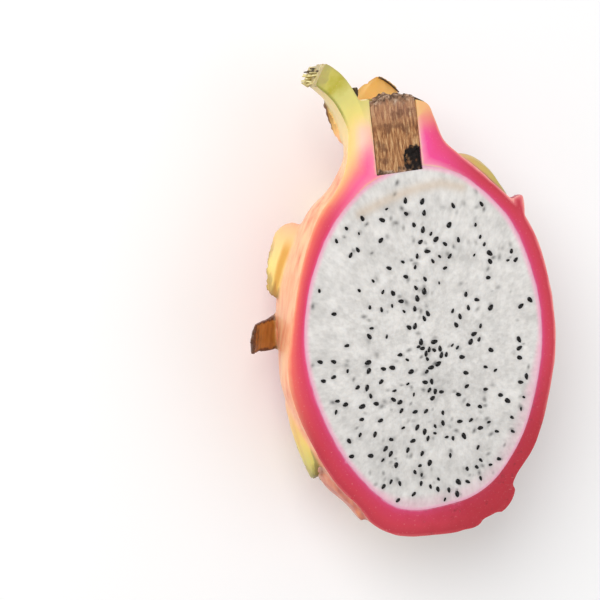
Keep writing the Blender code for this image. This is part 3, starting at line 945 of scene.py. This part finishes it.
def skin_material(colours):
    """Waxy fruit skin: a thin bloom over coloured cells, with fine scars and veins."""
    made, tree, shader = start_material("waxy_skin")
    f = facts_of(tree, "along", "side", "under", "leaf", "share", "across", "face", "green", "dry")
    place = add(tree, "TexCoord").outputs["Object"]
    lengthwise = add(tree, "Mapping", {"Vector": place, "Scale": (1.0, 0.22, 1.0)}).outputs[0]
    blotch = add(tree, "TexNoise", {"Vector": place, "Scale": 90.0, "Detail": 5.0}).outputs[0]
    streak = add(tree, "TexNoise", {"Vector": lengthwise, "Scale": 420.0, "Detail": 5.0}).outputs[0]
    fine = add(tree, "TexNoise", {"Vector": place, "Scale": 2200.0, "Detail": 3.0}).outputs[0]
    back = add(
        tree, "ValToRGB", {0: blotch},
        ramp=((0.3, "#a83448"), (0.45, "#c24a60"), (0.58, "#cf6a70"), (0.75, "#d98c78")),
    ).outputs[0]
    # Painted light: the left side of the skin is drawn in lighter peach than the crimson back, as the side
    # that faces the key light
    painted_light_left = add(
        tree, "ValToRGB", {0: streak},
        ramp=((0.3, "#e58463"), (0.42, "#f8a57c"), (0.56, "#fdbb90"), (0.8, "#fdca96")),
    ).outputs[0]
    low = add(
        tree, "ValToRGB", {0: streak},
        ramp=((0.3, "#ae4844"), (0.5, "#ce6450"), (0.7, "#e6885f")),
    ).outputs[0]
    yellow = add(
        tree, "ValToRGB", {0: f["share"]},
        ramp=((0.0, "#fbb088"), (0.3, "#fbcf88"), (0.6, "#f9dc86"), (0.85, "#efc766"), (1.0, "#c9923c")),
    ).outputs[0]
    green = add(
        tree, "ValToRGB", {0: f["share"]},
        ramp=((0.0, "#f8a876"), (0.3, "#fbc270"), (0.55, "#f3cc60"), (0.78, "#d3c860"), (1.0, "#a3a548")),
    ).outputs[0]
    dryness = add(tree, "Math", {0: f["share"], 1: 0.25, 2: f["dry"]}, operation="MULTIPLY_ADD").outputs[0]
    to_left, to_low, to_neck, up_left, is_brown, amber, is_lobe, pale, olive = masks(
        tree,
        (f["side"], -0.62, -0.86, 1.0),
        (f["along"], 0.36, 0.2, 0.8),
        (f["along"], 0.7, 0.86, 1.0),
        (f["side"], 0.2, -0.5, 1.0),
        (dryness, 0.85, 1.05, 1.0),
        (f["along"], 0.82, 0.92, 0.6),
        (f["dry"], 0.2, 0.4, 1.0),
        (f["green"], 0.92, 1.0, 0.85),
        (f["side"], 0.8, 0.96, 0.65),
    )
    neck = layered(tree, paint("#e0606e"), ((up_left, paint("#f8de98")),))
    body = layered(tree, back, ((to_left, painted_light_left), (to_neck, neck), (to_low, low)))
    brown = add(
        tree, "ValToRGB", {0: streak}, ramp=((0.3, "#a06c28"), (0.5, "#b88238"), (0.75, "#cc9a50"))
    ).outputs[0]
    # Painted shade: a darker golden stripe along the lobe's crease, where the crease falls into shadow
    fold = add(tree, "Math", {0: f["across"], 1: 3.4, 2: -0.5}, operation="MULTIPLY_ADD").outputs[0]
    fold = add(tree, "Math", {0: fold, 1: fold}, operation="MULTIPLY").outputs[0]
    painted_crease_shade, reach = masks(tree, (fold, 0.8, 0.0, 0.95), (f["share"], 0.15, 0.4, 1.0))
    painted_crease_shade = add(tree, "Math", {0: painted_crease_shade, 1: reach}, operation="MULTIPLY").outputs[0]
    painted_crease_shade = add(tree, "Math", {0: painted_crease_shade, 1: is_lobe}, operation="MULTIPLY").outputs[0]
    yellow = layered(tree, yellow, ((painted_crease_shade, paint("#d8952a")), (amber, paint("#dd9840"))))
    leaf = layered(
        tree,
        yellow,
        (
            (f["green"], green),
            (pale, paint("#f2dfa0")),
            (olive, paint("#b8a258")),
            (is_brown, brown),
        ),
    )
    margin = add(tree, "Math", {0: f["across"]}, operation="ABSOLUTE").outputs[0]
    rough = add(tree, "Math", {0: streak, 1: 0.5, 2: margin}, operation="MULTIPLY_ADD").outputs[0]
    worn, late = masks(tree, (rough, 1.0, 1.14, 1.0), (f["share"], 0.2, 0.5, 1.0))
    worn = add(tree, "Math", {0: worn, 1: late}, operation="MULTIPLY").outputs[0]
    tip = add(tree, "Math", {0: f["share"], 1: streak}, operation="ADD").outputs[0]
    tip = masks(tree, (tip, 1.3, 1.5, 1.0))[0]
    dried = add(tree, "Math", {0: worn, 1: tip}, operation="MAXIMUM").outputs[0]
    dried = add(tree, "Math", {0: dried, 1: f["dry"]}, operation="MULTIPLY").outputs[0]
    dried = add(tree, "Math", {0: dried, 1: f["leaf"]}, operation="MULTIPLY").outputs[0]
    colour = layered(tree, body, ((f["leaf"], leaf), (dried, paint("#5b3216"))))
    height = add(tree, "Math", {0: fine, 1: streak}, operation="ADD").outputs[0]
    relief = add(tree, "Bump", {"Strength": 0.5, "Distance": 0.00012, "Height": height}).outputs[0]
    gloss = add(tree, "MapRange", {0: blotch, 1: 0.3, 2: 0.7, 3: 0.34, 4: 0.5}).outputs[0]
    finish_shader(
        tree,
        shader,
        {
            "Subsurface Weight": 0.2,
            "Subsurface Radius": (1.0, 0.4, 0.25),
            "Subsurface Scale": 0.001,
            "Coat Weight": 0.2,
            "Coat Roughness": 0.3,
        },
        {"Base Color": colour, "Normal": relief, "Roughness": gloss},
        colours.skin,
    )
    return made


def flesh_material(colours):
    """Moist pulp: translucent white cells and fibres, wet enough for small glints."""
    made, tree, shader = start_material("moist_pulp")
    f = facts_of(tree, "blush", "cream", "shadow", "halo")
    place = add(tree, "TexCoord").outputs["Object"]
    heart = at(*HEART_MM)
    centred = add(
        tree, "VectorMath", {0: place, 1: (heart.x, heart.y, 0.0)}, operation="SUBTRACT"
    ).outputs[0]
    direction = add(tree, "VectorMath", {0: centred}, operation="NORMALIZE").outputs[0]
    rays = add(tree, "VectorMath", {0: direction, 1: (0.01, 0.01, 0.0)}, operation="MULTIPLY").outputs[0]
    outwards = add(tree, "VectorMath", {0: centred, 1: (0.06, 0.06, 0.06)}, operation="MULTIPLY").outputs[0]
    radial = add(tree, "VectorMath", {0: rays, 1: outwards}, operation="ADD").outputs[0]
    fibre = add(tree, "TexNoise", {"Vector": radial, "Scale": 3200.0, "Detail": 5.0}).outputs[0]
    cloud = add(tree, "TexNoise", {"Vector": place, "Scale": 150.0, "Detail": 4.0}).outputs[0]
    cells = add(tree, "TexNoise", {"Vector": place, "Scale": 900.0, "Detail": 4.0}).outputs[0]
    tone = add(tree, "Math", {0: fibre, 1: cloud}, operation="ADD").outputs[0]
    white = add(
        tree, "ValToRGB", {0: add(tree, "Math", {0: tone, 1: 0.5}, operation="MULTIPLY").outputs[0]},
        ramp=((0.34, "#c4c1bd"), (0.44, "#d0cdc9"), (0.54, "#dcd9d5"), (0.68, "#e9e6e2")),
    ).outputs[0]
    colour = layered(
        tree,
        white,
        (
            (f["blush"], paint("#f4a4c0")),
            (f["cream"], paint("#cdb69c")),
            (f["shadow"], paint("#3c3a39")),
            (f["halo"], paint("#9c9894")),
        ),
    )
    height = add(tree, "Math", {0: fibre, 1: cells}, operation="ADD").outputs[0]
    relief = add(tree, "Bump", {"Strength": 0.5, "Distance": 0.00025, "Height": height}).outputs[0]
    finish_shader(
        tree,
        shader,
        {
            "Roughness": 0.3,
            "Subsurface Weight": 0.5,
            "Subsurface Radius": (1.0, 0.9, 0.8),
            "Subsurface Scale": 0.0015,
            "Coat Weight": 0.3,
            "Coat Roughness": 0.12,
        },
        {"Base Color": colour, "Normal": relief},
        colours.pulp,
    )
    return made


def seed_material(colours):
    """Seed coat: hard, black and wet, so each seed has one soft glint."""
    made, tree, shader = start_material("wet_seed_coat")
    coat = {"Base Color": (*colours.seed, 1.0), "Roughness": 0.22, "IOR": 1.38}
    finish_shader(tree, shader, coat, {})
    return made


def stalk_material(colours):
    """Dry woody fibre: dull, tan to brown along the grain, rotten black in the pit."""
    made, tree, shader = start_material("dry_woody_fibre")
    f = facts_of(tree, "rot", "crust", "rise", "over")
    drawn_out = add(tree, "Math", {0: f["rise"], 1: 0.12}, operation="MULTIPLY").outputs[0]
    fibres = add(tree, "CombineXYZ", {0: f["over"], 1: drawn_out}).outputs[0]
    grain = {"Vector": fibres, "Scale": 1700.0, "Detail": 6.0, "Roughness": 0.68}
    strand = add(tree, "TexNoise", grain).outputs[0]
    place = add(tree, "TexCoord").outputs["Object"]
    patch = add(tree, "TexNoise", {"Vector": place, "Scale": 330.0, "Detail": 5.0}).outputs[0]
    fine = add(tree, "TexNoise", {"Vector": place, "Scale": 2600.0, "Detail": 3.0}).outputs[0]
    lump = {"Vector": place, "Scale": 480.0, "Detail": 7.0, "Roughness": 0.72}
    lumps = add(tree, "TexNoise", lump).outputs[0]
    wood = add(
        tree, "ValToRGB", {0: strand},
        ramp=((0.32, "#4c2c16"), (0.42, "#8e5a34"), (0.5, "#b27c4e"), (0.6, "#cfa272"), (0.74, "#e4c49a")),
    ).outputs[0]
    dark, ashen = masks(tree, (patch, 0.5, 0.66, 0.7), (f["rise"], 0.011, 0.0185, 0.8))
    crust = add(
        tree, "ValToRGB", {0: lumps},
        ramp=((0.36, "#241610"), (0.46, "#6e503a"), (0.55, "#b08e74"), (0.66, "#e2cab4")),
    ).outputs[0]
    ashen = add(tree, "Math", {0: ashen, 1: patch}, operation="MULTIPLY").outputs[0]
    rot = add(tree, "ValToRGB", {0: fine}, ramp=((0.4, "#060302"), (0.75, "#2c160b"))).outputs[0]
    colour = layered(
        tree,
        wood,
        (
            (ashen, paint("#b88a76")),
            (dark, paint("#6a4028")),
            (f["crust"], crust),
            (f["rot"], rot),
        ),
    )
    height = add(tree, "Math", {0: strand, 1: fine}, operation="ADD").outputs[0]
    relief = add(tree, "Bump", {"Strength": 0.8, "Distance": 0.0004, "Height": height}).outputs[0]
    finish_shader(
        tree, shader, {"Roughness": 0.8}, {"Base Color": colour, "Normal": relief}, colours.stalk
    )
    return made


def dry_tip_material():
    """Dried bract edge: papery, brown and split along its veins."""
    made, tree, shader = start_material("dried_bract_edge")
    place = add(tree, "TexCoord").outputs["Object"]
    grain = add(tree, "TexNoise", {"Vector": place, "Scale": 1200.0, "Detail": 4.0}).outputs[0]
    colour = add(
        tree, "ValToRGB", {0: grain},
        ramp=((0.3, "#8a7440"), (0.44, "#c9b878"), (0.6, "#e9dca0"), (0.8, "#f6efc8")),
    ).outputs[0]
    dark = facts_of(tree, "dead")["dead"]
    brown = add(tree, "ValToRGB", {0: grain}, ramp=((0.35, "#1c1008"), (0.7, "#6a5230"))).outputs[0]
    colour = layered(tree, colour, ((dark, brown),))
    relief = add(tree, "Bump", {"Strength": 0.6, "Distance": 0.0002, "Height": grain}).outputs[0]
    finish_shader(tree, shader, {"Roughness": 0.7}, {"Base Color": colour, "Normal": relief})
    return made


class FruitSizes(bpy.types.PropertyGroup):
    """Sizes that a user would change."""

    skin_cell: FloatProperty(
        name="Skin cell",
        description="Width of the cells that the skin and its scales are grown in",
        default=0.6 * MM,
        unit="LENGTH",
    )
    cut_cell: FloatProperty(
        name="Cut cell",
        description="Width of the cells of the rind's cut face",
        default=0.6 * MM,
        unit="LENGTH",
    )
    flesh_cell: FloatProperty(
        name="Flesh cell",
        description="Width of the cells of the flesh's cut face",
        default=0.42 * MM,
        unit="LENGTH",
    )
    seed_size: FloatProperty(
        name="Seed size",
        description="Size of the seeds against the ones in the solid",
        default=1.0,
        subtype="FACTOR",
    )


def colour_property(name, description, code="#ffffff"):
    """A colour that a user would change."""
    return FloatVectorProperty(
        name=name, description=description, default=paint(code)[:3], size=3, subtype="COLOR"
    )


class FruitColours(bpy.types.PropertyGroup):
    """Colours that a user would change."""

    skin: colour_property("Skin tint", "Tint over the skin and its scales")
    cut: colour_property("Cut tint", "Tint over the rind's cut face")
    pulp: colour_property("Pulp tint", "Tint over the white flesh")
    stalk: colour_property("Stalk tint", "Tint over the woody stub")
    seed: colour_property("Seeds", "Colour of the seeds", "#0a0808")
    floor: colour_property("Floor", "Colour of the plain floor", "#fbfbfb")


class FruitOperator:
    """What all the operators of this panel share."""

    bl_options = {"REGISTER", "UNDO"}


class FRUIT_OT_rind(FruitOperator, bpy.types.Operator):
    """Grow the skin with its scales and bracts, cut and hollowed"""

    bl_idname = "fruit.rind"
    bl_label = "Grow the rind"

    def execute(self, context):
        sizes = context.scene.fruit_sizes
        body, blades, flesh = Surface(), Surface(), Surface()
        whole = bmesh.new()
        sources = [(body, fruit_body(SKIN, BODY_SEGMENTS, BODY_RINGS, swell))]
        sources += [(blades, body_scale(scale)) for scale in SCALES.values()]
        sources += [(blades, collar_bract(*row)) for row in BRACT_ROWS_MM.values()]
        for surface, (bm, facts) in sources:
            surface.take(bm, facts)
            pour(bm, whole)
        hollow, facts = fruit_body(FLESH, FLESH_SEGMENTS, FLESH_RINGS, lambda point: 0.0)
        flesh.take(hollow, facts)
        for surface in (body, blades, flesh):
            surface.close()
        geom = whole.verts[:] + whole.edges[:] + whole.faces[:]
        trimmed = bmesh.ops.bisect_plane(
            whole, geom=geom, plane_co=UP * (CUT_HEIGHT + TRIM_ABOVE), plane_no=UP, clear_outer=True
        )["geom_cut"]
        rims = [item for item in trimmed if isinstance(item, bmesh.types.BMEdge)]
        bmesh.ops.edgeloop_fill(whole, edges=rims)
        piece = object_from(whole, "rind_skin")
        modifier = piece.modifiers.new("grow", "REMESH")
        modifier.mode = "VOXEL"
        modifier.voxel_size = sizes.skin_cell
        settle(piece)
        grow_skin(piece, blades)
        carve(
            piece,
            object_from(hollow, "hollow"),
            socket(),
            floor_tool(),
            knife(RIND_KNIFE_MM, sizes.cut_cell, face_height),
        )
        keep_facts(piece.data, rind_facts(piece.data, body, blades, flesh))
        colours = context.scene.fruit_colours
        wear(piece, skin_material(colours), cut_rind_material(colours))
        for polygon in piece.data.polygons:
            middle = polygon.center
            level = polygon.normal.z > CUT_LEVEL
            level = level and abs(middle.z - face_height(middle)) < NEAR_FACE
            walled = off_stalk(middle) < NEAR_SOCKET
            walled = walled or flesh.tree.find_nearest(middle)[3] < NEAR_HOLLOW
            polygon.material_index = 1 if level or walled else 0
        shade(piece.data)
        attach(piece, "root")
        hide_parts("rind")
        return {"FINISHED"}


class FRUIT_OT_dry_tips(FruitOperator, bpy.types.Operator):
    """Add the dried, split shreds at the tips of the bracts"""

    bl_idname = "fruit.dry_tips"
    bl_label = "Add the dried tips"

    def execute(self, context):
        draw = random.Random(SEED_RANDOM + 4)
        strips = []
        for name, (count, length) in FRAYS_MM.items():
            root, bend, tip, side, widths, thicknesses, _ = BRACT_ROWS_MM[name]
            top, across, normal = bract_path(root, bend, tip, side)(FRAY_START)
            onward = (at(*tip) - at(*bend)).normalized()
            for number in range(count):
                part = (number + draw.random()) / count * 2 - 1
                start = top + across * draw.uniform(*FRAY_ACROSS) * widths[1] * MM
                start += normal * part * FRAY_THROUGH * thicknesses[1] * MM
                away = onward + normal * (FRAY_LEAN - FRAY_FAN * part + draw.gauss(0, FRAY_STRAY))
                run = away.normalized() * length * MM * draw.uniform(*FRAY_LENGTHS)
                run *= 1 - FRAY_ROUNDING * part * part
                curl = normal * draw.gauss(0, FRAY_CURL)
                size = (FRAY_WIDTH_MM, FRAY_THICKNESS_MM)
                strips.append((start, run, curl, across, normal, *size, ease(-part, *FRAY_DEAD)))
        for start, bend, end, width, thickness in DEAD_EDGES_MM:
            start, bend, end = at(*start), at(*bend), at(*end)
            curl = (start + end) - bend * 2
            normal = UP.cross((end - start).normalized())
            strips.append((start, end - start - curl, curl, UP, normal, width, thickness, 1.0))
        whole = bmesh.new()
        dead_at = []
        for start, run, curl, across, normal, width, thickness, dead in strips:

            def bow(share, start=start, run=run, curl=curl, across=across, normal=normal):
                return start + run * share + curl * share**2, across, normal

            bm, _ = blade(
                bow,
                (width * MM, width * STRIP_TIP[0] * MM),
                (thickness * MM, thickness * STRIP_TIP[1] * MM),
                STRIP_CUP,
                (0, 0),
                run.length,
                STRIP_PARTS,
            )
            dead_at += [dead] * len(bm.verts)
            pour(bm, whole)
        piece = object_from(whole, "dry_tips")
        keep_facts(piece.data, {"dead": dead_at})
        wear(piece, dry_tip_material())
        shade(piece.data)
        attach(piece, "root")
        return {"FINISHED"}


def fold_at(point):
    """How much of the creamy fold is at a point of the cut face."""
    stops = [at(*stop).xy for stop in FOLD_MM]
    off = math.inf
    for start, end in zip(stops, stops[1:]):
        run = end - start
        part = min(max((point.xy - start).dot(run) / run.length_squared, 0.0), 1.0)
        off = min(off, (point.xy - start - run * part).length)
    return math.exp(-((off / FOLD_WIDTH) ** 2))


def search_tree(spots):
    """A tree that finds the spots near a point, each first in its row."""
    tree = KDTree(len(spots))
    for number, (spot, *_) in enumerate(spots):
        tree.insert((spot.x, spot.y, 0), number)
    tree.balance()
    return tree


def shadow_at(point, seeds, tree):
    """How dark the seeds below make a point of the cut face."""
    shadow = 0.0
    for _, number, _ in tree.find_range(point, DEEP_REACH):
        spot, heading, dark, size = seeds[number]
        away = point.xy - spot
        along = away.x * math.cos(heading) + away.y * math.sin(heading)
        over = away.y * math.cos(heading) - away.x * math.sin(heading)
        falloff = (along / (DEEP_LENGTH * size)) ** 2 + (over / (DEEP_WIDTH * size)) ** 2
        shadow = max(shadow, dark * math.exp(-falloff))
    return shadow


class FRUIT_OT_flesh(FruitOperator, bpy.types.Operator):
    """Fill the rind with the moist flesh, with the seeds that show through it"""

    bl_idname = "fruit.flesh"
    bl_label = "Fill in the flesh"

    def execute(self, context):
        sizes = context.scene.fruit_sizes
        draw = random.Random(SEED_RANDOM + 3)
        seeds = seed_spots()
        near_seeds = search_tree(seeds)
        deep = []
        while len(deep) < DEEP_SEEDS:
            spot, heading, _ = seeds[draw.randrange(len(seeds))]
            spot = spot + Vector([draw.gauss(0, DEEP_SCATTER_MM) for _ in range(2)]) * MM
            heading += draw.gauss(0, DEEP_TURN)
            deep.append((spot, heading, draw.uniform(*DEEP_DARKNESS), draw.uniform(*DEEP_SIZES)))
        near_deep = search_tree(deep)
        body, facts = fruit_body(FLESH, FLESH_SEGMENTS, FLESH_RINGS, lambda point: 0.02 * MM)
        shell = Surface()
        shell.take(body, facts)
        shell.close()
        piece = object_from(body, "flesh_pulp")

        def relief(point):
            height = face_height(point)
            rim = shell.tree.find_nearest(Vector((point.x, point.y, CUT_HEIGHT)))[3]
            inside = ease(rim, 0, 2 * MM)
            height += waves(Vector((point.x, point.y, 5)), PULP_WAVES) * inside
            return height + FOLD_HEIGHT * fold_at(point) * inside

        carve(piece, socket(), knife(FLESH_KNIFE_MM, sizes.flesh_cell, relief))
        core_at = at(*CORE_MM).xy
        rows = []
        for vertex in piece.data.vertices:
            point = Vector((vertex.co.x, vertex.co.y, 0))
            rim = shell.tree.find_nearest(vertex.co)[3]
            halo = HALO * math.exp(-((near_seeds.find(point)[2] / HALO_WIDTH) ** 2))
            low_right = ease(vertex.co.x - vertex.co.y * LOWER_RIGHT_SLOPE, *LOWER_RIGHT)
            reach = (RIM_REACH_MM + RIM_WIDER_MM * low_right) * MM
            blush = (1 - ease(rim, 0.0, reach)) * (0.85 + 0.3 * noise.noise(vertex.co / (2.5 * MM)))
            line = (1 - ease(rim, 0.0, RIM_LINE_REACH)) * RIM_LINE
            blush = max(line, blush * (1 - RIM_FAINTER * low_right))
            core = math.exp(-(((point.xy - core_at).length / CORE_WIDTH) ** 2)) * CORE
            shadow = shadow_at(point, deep, near_deep) * ease(rim, *RIM_CLEAR)
            shadow = max(shadow, core * (0.7 + noise.noise(vertex.co / (2 * MM))))
            shadow = max(shadow, LOW_SHADE * ease(-point.y, 0, LOW_SHADE_REACH))
            rows.append((blush, fold_at(point) * FOLD_TINT, shadow, halo))
        keep_facts(piece.data, dict(zip(("blush", "cream", "shadow", "halo"), zip(*rows))))
        wear(piece, flesh_material(context.scene.fruit_colours))
        shade(piece.data)
        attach(piece, "root")
        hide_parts("flesh")
        return {"FINISHED"}


class FRUIT_OT_seeds(FruitOperator, bpy.types.Operator):
    """Sow the black seeds on the cut face"""

    bl_idname = "fruit.seeds"
    bl_label = "Sow the seeds"

    def execute(self, context):
        size = context.scene.fruit_sizes.seed_size
        draw = random.Random(SEED_RANDOM + 1)
        whole = bmesh.new()
        for spot, heading, length in seed_spots():
            sunk = draw.uniform(*SEED_SUNK) * length
            tilts = [draw.uniform(-SEED_TILT, SEED_TILT) for _ in range(2)]
            turn = Matrix.Rotation(heading, 4, "Z") @ Matrix.Rotation(tilts[1], 4, "Y")
            turn = turn @ Matrix.Rotation(tilts[0], 4, "X")
            scale = Vector((1, SEED_WIDTH * draw.uniform(0.9, 1.15), SEED_HEIGHT)) * length * size
            place = Vector((spot.x, spot.y, 0))
            place.z = face_height(place) - sunk
            ball = bmesh.ops.create_uvsphere(whole, u_segments=8, v_segments=6, radius=0.5)["verts"]
            for vert in ball:
                drop = Vector((vert.co.z, vert.co.x, vert.co.y))
                drop.y *= 1 - SEED_TAPER * drop.x
                drop = Vector(part * side for part, side in zip(drop, scale))
                vert.co = place + turn @ drop
        piece = object_from(whole, "seeds")
        piece.data.shade_smooth()
        wear(piece, seed_material(context.scene.fruit_colours))
        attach(piece, "root")
        return {"FINISHED"}


class FRUIT_OT_stalk(FruitOperator, bpy.types.Operator):
    """Stand the cut stub of the dry stalk in the collar"""

    bl_idname = "fruit.stalk"
    bl_label = "Stand the stalk"

    def execute(self, context):
        foot, axis, length = stalk_axes()
        across = axis.cross(UP).normalized()
        bm = bmesh.new()
        bmesh.ops.create_uvsphere(bm, u_segments=STALK_FACETS, v_segments=STALK_FACETS, radius=1.0)
        for vert in bm.verts:
            rise = 1 - math.acos(max(-1.0, min(1.0, vert.co.z))) / math.pi
            turn = math.atan2(vert.co.y, vert.co.x)
            wide = min(rise / STALK_CAP, (1 - rise) / STALK_CAP, 1.0)
            along = min(max((rise - STALK_CAP) / (1 - 2 * STALK_CAP), 0.0), 1.0) * length
            spoke = across * math.cos(turn) + UP * math.sin(turn)
            radius = STALK_RADIUS * wide
            point = foot + axis * along + spoke * radius
            round_at = (math.cos(turn) * 6, math.sin(turn) * 6, along / FLUTE_LENGTH)
            point += spoke * wide * (noise.noise(Vector(round_at)) - FLUTE_SINK) * FLUTE_DEPTH
            part = math.cos(turn) * wide
            top = TOP_CROWN * (0.55 - part * part) + TOP_SLANT * part
            point += axis * ease(along, length * 0.6, length) * top
            crust = ease(along, length * CRUST_FROM, length)
            lump = waves(point + axis * 3, CRUST_WAVES)
            point += axis * crust * (lump - CRUST_SINK)
            point += spoke * crust * wide * lump * 0.35
            vert.co = point
        piece = object_from(bm, "stalk_stub")
        pit = bmesh.new()
        bmesh.ops.create_icosphere(pit, subdivisions=4, radius=1.0)
        for vert in pit.verts:
            rough = 0.95 + 0.45 * noise.noise(vert.co * 2.3) + 0.2 * noise.noise(vert.co * 6)
            vert.co = at(*STALK_PIT_MM) + Vector(c * s * rough for c, s in zip(vert.co, STALK_PIT_SIZE))
            away = vert.co - foot
            away -= axis * away.dot(axis)
            vert.co -= away * max(1 - (STALK_RADIUS - PIT_FROM_WALL) / away.length, 0.0)

        def relief(point):
            away = point - Vector((foot.x, foot.y, 0))
            height = face_height(point)
            for wide, long, deep, shift in STALK_GRAINS_MM:
                over, rise = away.dot(across) / (wide * MM), away.dot(axis) / (long * MM)
                height -= abs(noise.noise(Vector((over, rise, shift)))) * deep * MM
            return height

        carve(piece, object_from(pit, "pit"), knife(STALK_KNIFE_MM, STALK_CELL, relief))
        rows = []
        for vertex in piece.data.vertices:
            point = vertex.co
            away = point - foot
            rise, over = away.dot(axis), away.dot(across)
            off = point - at(*STALK_PIT_MM)
            off = Vector(c / s for c, s in zip(off, STALK_PIT_SIZE)).length
            rough = 0.3 * noise.noise(point / (1.2 * MM))
            rot = 1 - ease(off + rough, 1.0, 1.2)
            crust = ease(rise + rough * 6 * MM, length * 0.88, length * 1.0)
            crumbs = noise.noise(point / (1.6 * MM) + UP * 5)
            crust = max(crust, 0.9 * (1 - ease(rise + crumbs * 2.4 * MM, 0.5 * MM, 1.5 * MM)))
            low_rot = 0.4 * (1 - ease(rise + crumbs * 3 * MM, -0.2 * MM, 0.7 * MM))
            rows.append((max(rot, low_rot), crust, rise, over))
        keep_facts(piece.data, dict(zip(("rot", "crust", "rise", "over"), zip(*rows))))
        wear(piece, stalk_material(context.scene.fruit_colours))
        shade(piece.data)
        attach(piece, "root")
        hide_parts("stalk")
        return {"FINISHED"}


class FRUIT_OT_stage(FruitOperator, bpy.types.Operator):
    """Set the plain floor, the soft light and the camera"""

    bl_idname = "fruit.stage"
    bl_label = "Set the stage"

    def execute(self, context):
        scene = context.scene
        bm = bmesh.new()
        bmesh.ops.create_grid(bm, x_segments=1, y_segments=1, size=FLOOR_HALF)
        mesh = bpy.data.meshes.new("floor")
        bm.to_mesh(mesh)
        bm.free()
        floor = bpy.data.objects.new("floor", mesh)
        scene.collection.objects.link(floor)
        made, tree, shader = start_material("matt_paper")
        colour = (*scene.fruit_colours.floor, 1.0)
        finish_shader(tree, shader, {"Base Color": colour, "Roughness": 0.9}, {})
        wear(floor, made)
        middle = at(0, 0)
        for name, (place, size, power) in LAMPS.items():
            light = bpy.data.lights.new(name, "AREA")
            light.shape = "DISK"
            light.size = size
            light.energy = power
            lamp = bpy.data.objects.new(name, light)
            lamp.location = Vector(place)
            lamp.rotation_euler = (middle - lamp.location).to_track_quat("-Z", "Y").to_euler()
            scene.collection.objects.link(lamp)
        world = bpy.data.worlds.new("soft_room")
        world.use_nodes = True
        room = world.node_tree.nodes["Background"]
        room.inputs["Color"].default_value = (1, 1, 1, 1)
        room.inputs["Strength"].default_value = ROOM_BRIGHTNESS
        scene.world = world
        scene.view_settings.view_transform = "Standard"
        data = bpy.data.cameras.new("camera")
        data.lens = CAMERA_LENS
        data.clip_start = 0.01
        camera = bpy.data.objects.new("camera", data)
        camera.location = middle + Vector(CAMERA_FROM_FACE_MM) * MM
        camera.rotation_euler = [math.radians(turn) for turn in CAMERA_TURNS]
        scene.collection.objects.link(camera)
        scene.camera = camera
        return {"FINISHED"}


class FRUIT_PT_panel(bpy.types.Panel):
    """The steps that grow the fruit, in their order"""

    bl_idname = "FRUIT_PT_panel"
    bl_label = "Dragon fruit half"
    bl_space_type = "VIEW_3D"
    bl_region_type = "UI"
    bl_category = "Fruit"

    def draw(self, context):
        for group in (context.scene.fruit_sizes, context.scene.fruit_colours):
            for name in group.bl_rna.properties.keys():
                if name not in ("rna_type", "name"):
                    self.layout.prop(group, name)
        for step in STEPS:
            self.layout.operator(step.bl_idname)


STEPS = (
    FRUIT_OT_stage,
    FRUIT_OT_rind,
    FRUIT_OT_dry_tips,
    FRUIT_OT_flesh,
    FRUIT_OT_seeds,
    FRUIT_OT_stalk,
)
CLASSES = (FruitSizes, FruitColours, *STEPS, FRUIT_PT_panel)


def register():
    for cls in CLASSES:
        bpy.utils.register_class(cls)
    bpy.types.Scene.fruit_sizes = PointerProperty(type=FruitSizes)
    bpy.types.Scene.fruit_colours = PointerProperty(type=FruitColours)


def unregister():
    del bpy.types.Scene.fruit_colours
    del bpy.types.Scene.fruit_sizes
    for cls in reversed(CLASSES):
        bpy.utils.unregister_class(cls)


def main():
    register()
    for step in STEPS:
        group, name = step.bl_idname.split(".")
        getattr(getattr(bpy.ops, group), name)()


if __name__ == "__main__":
    main()
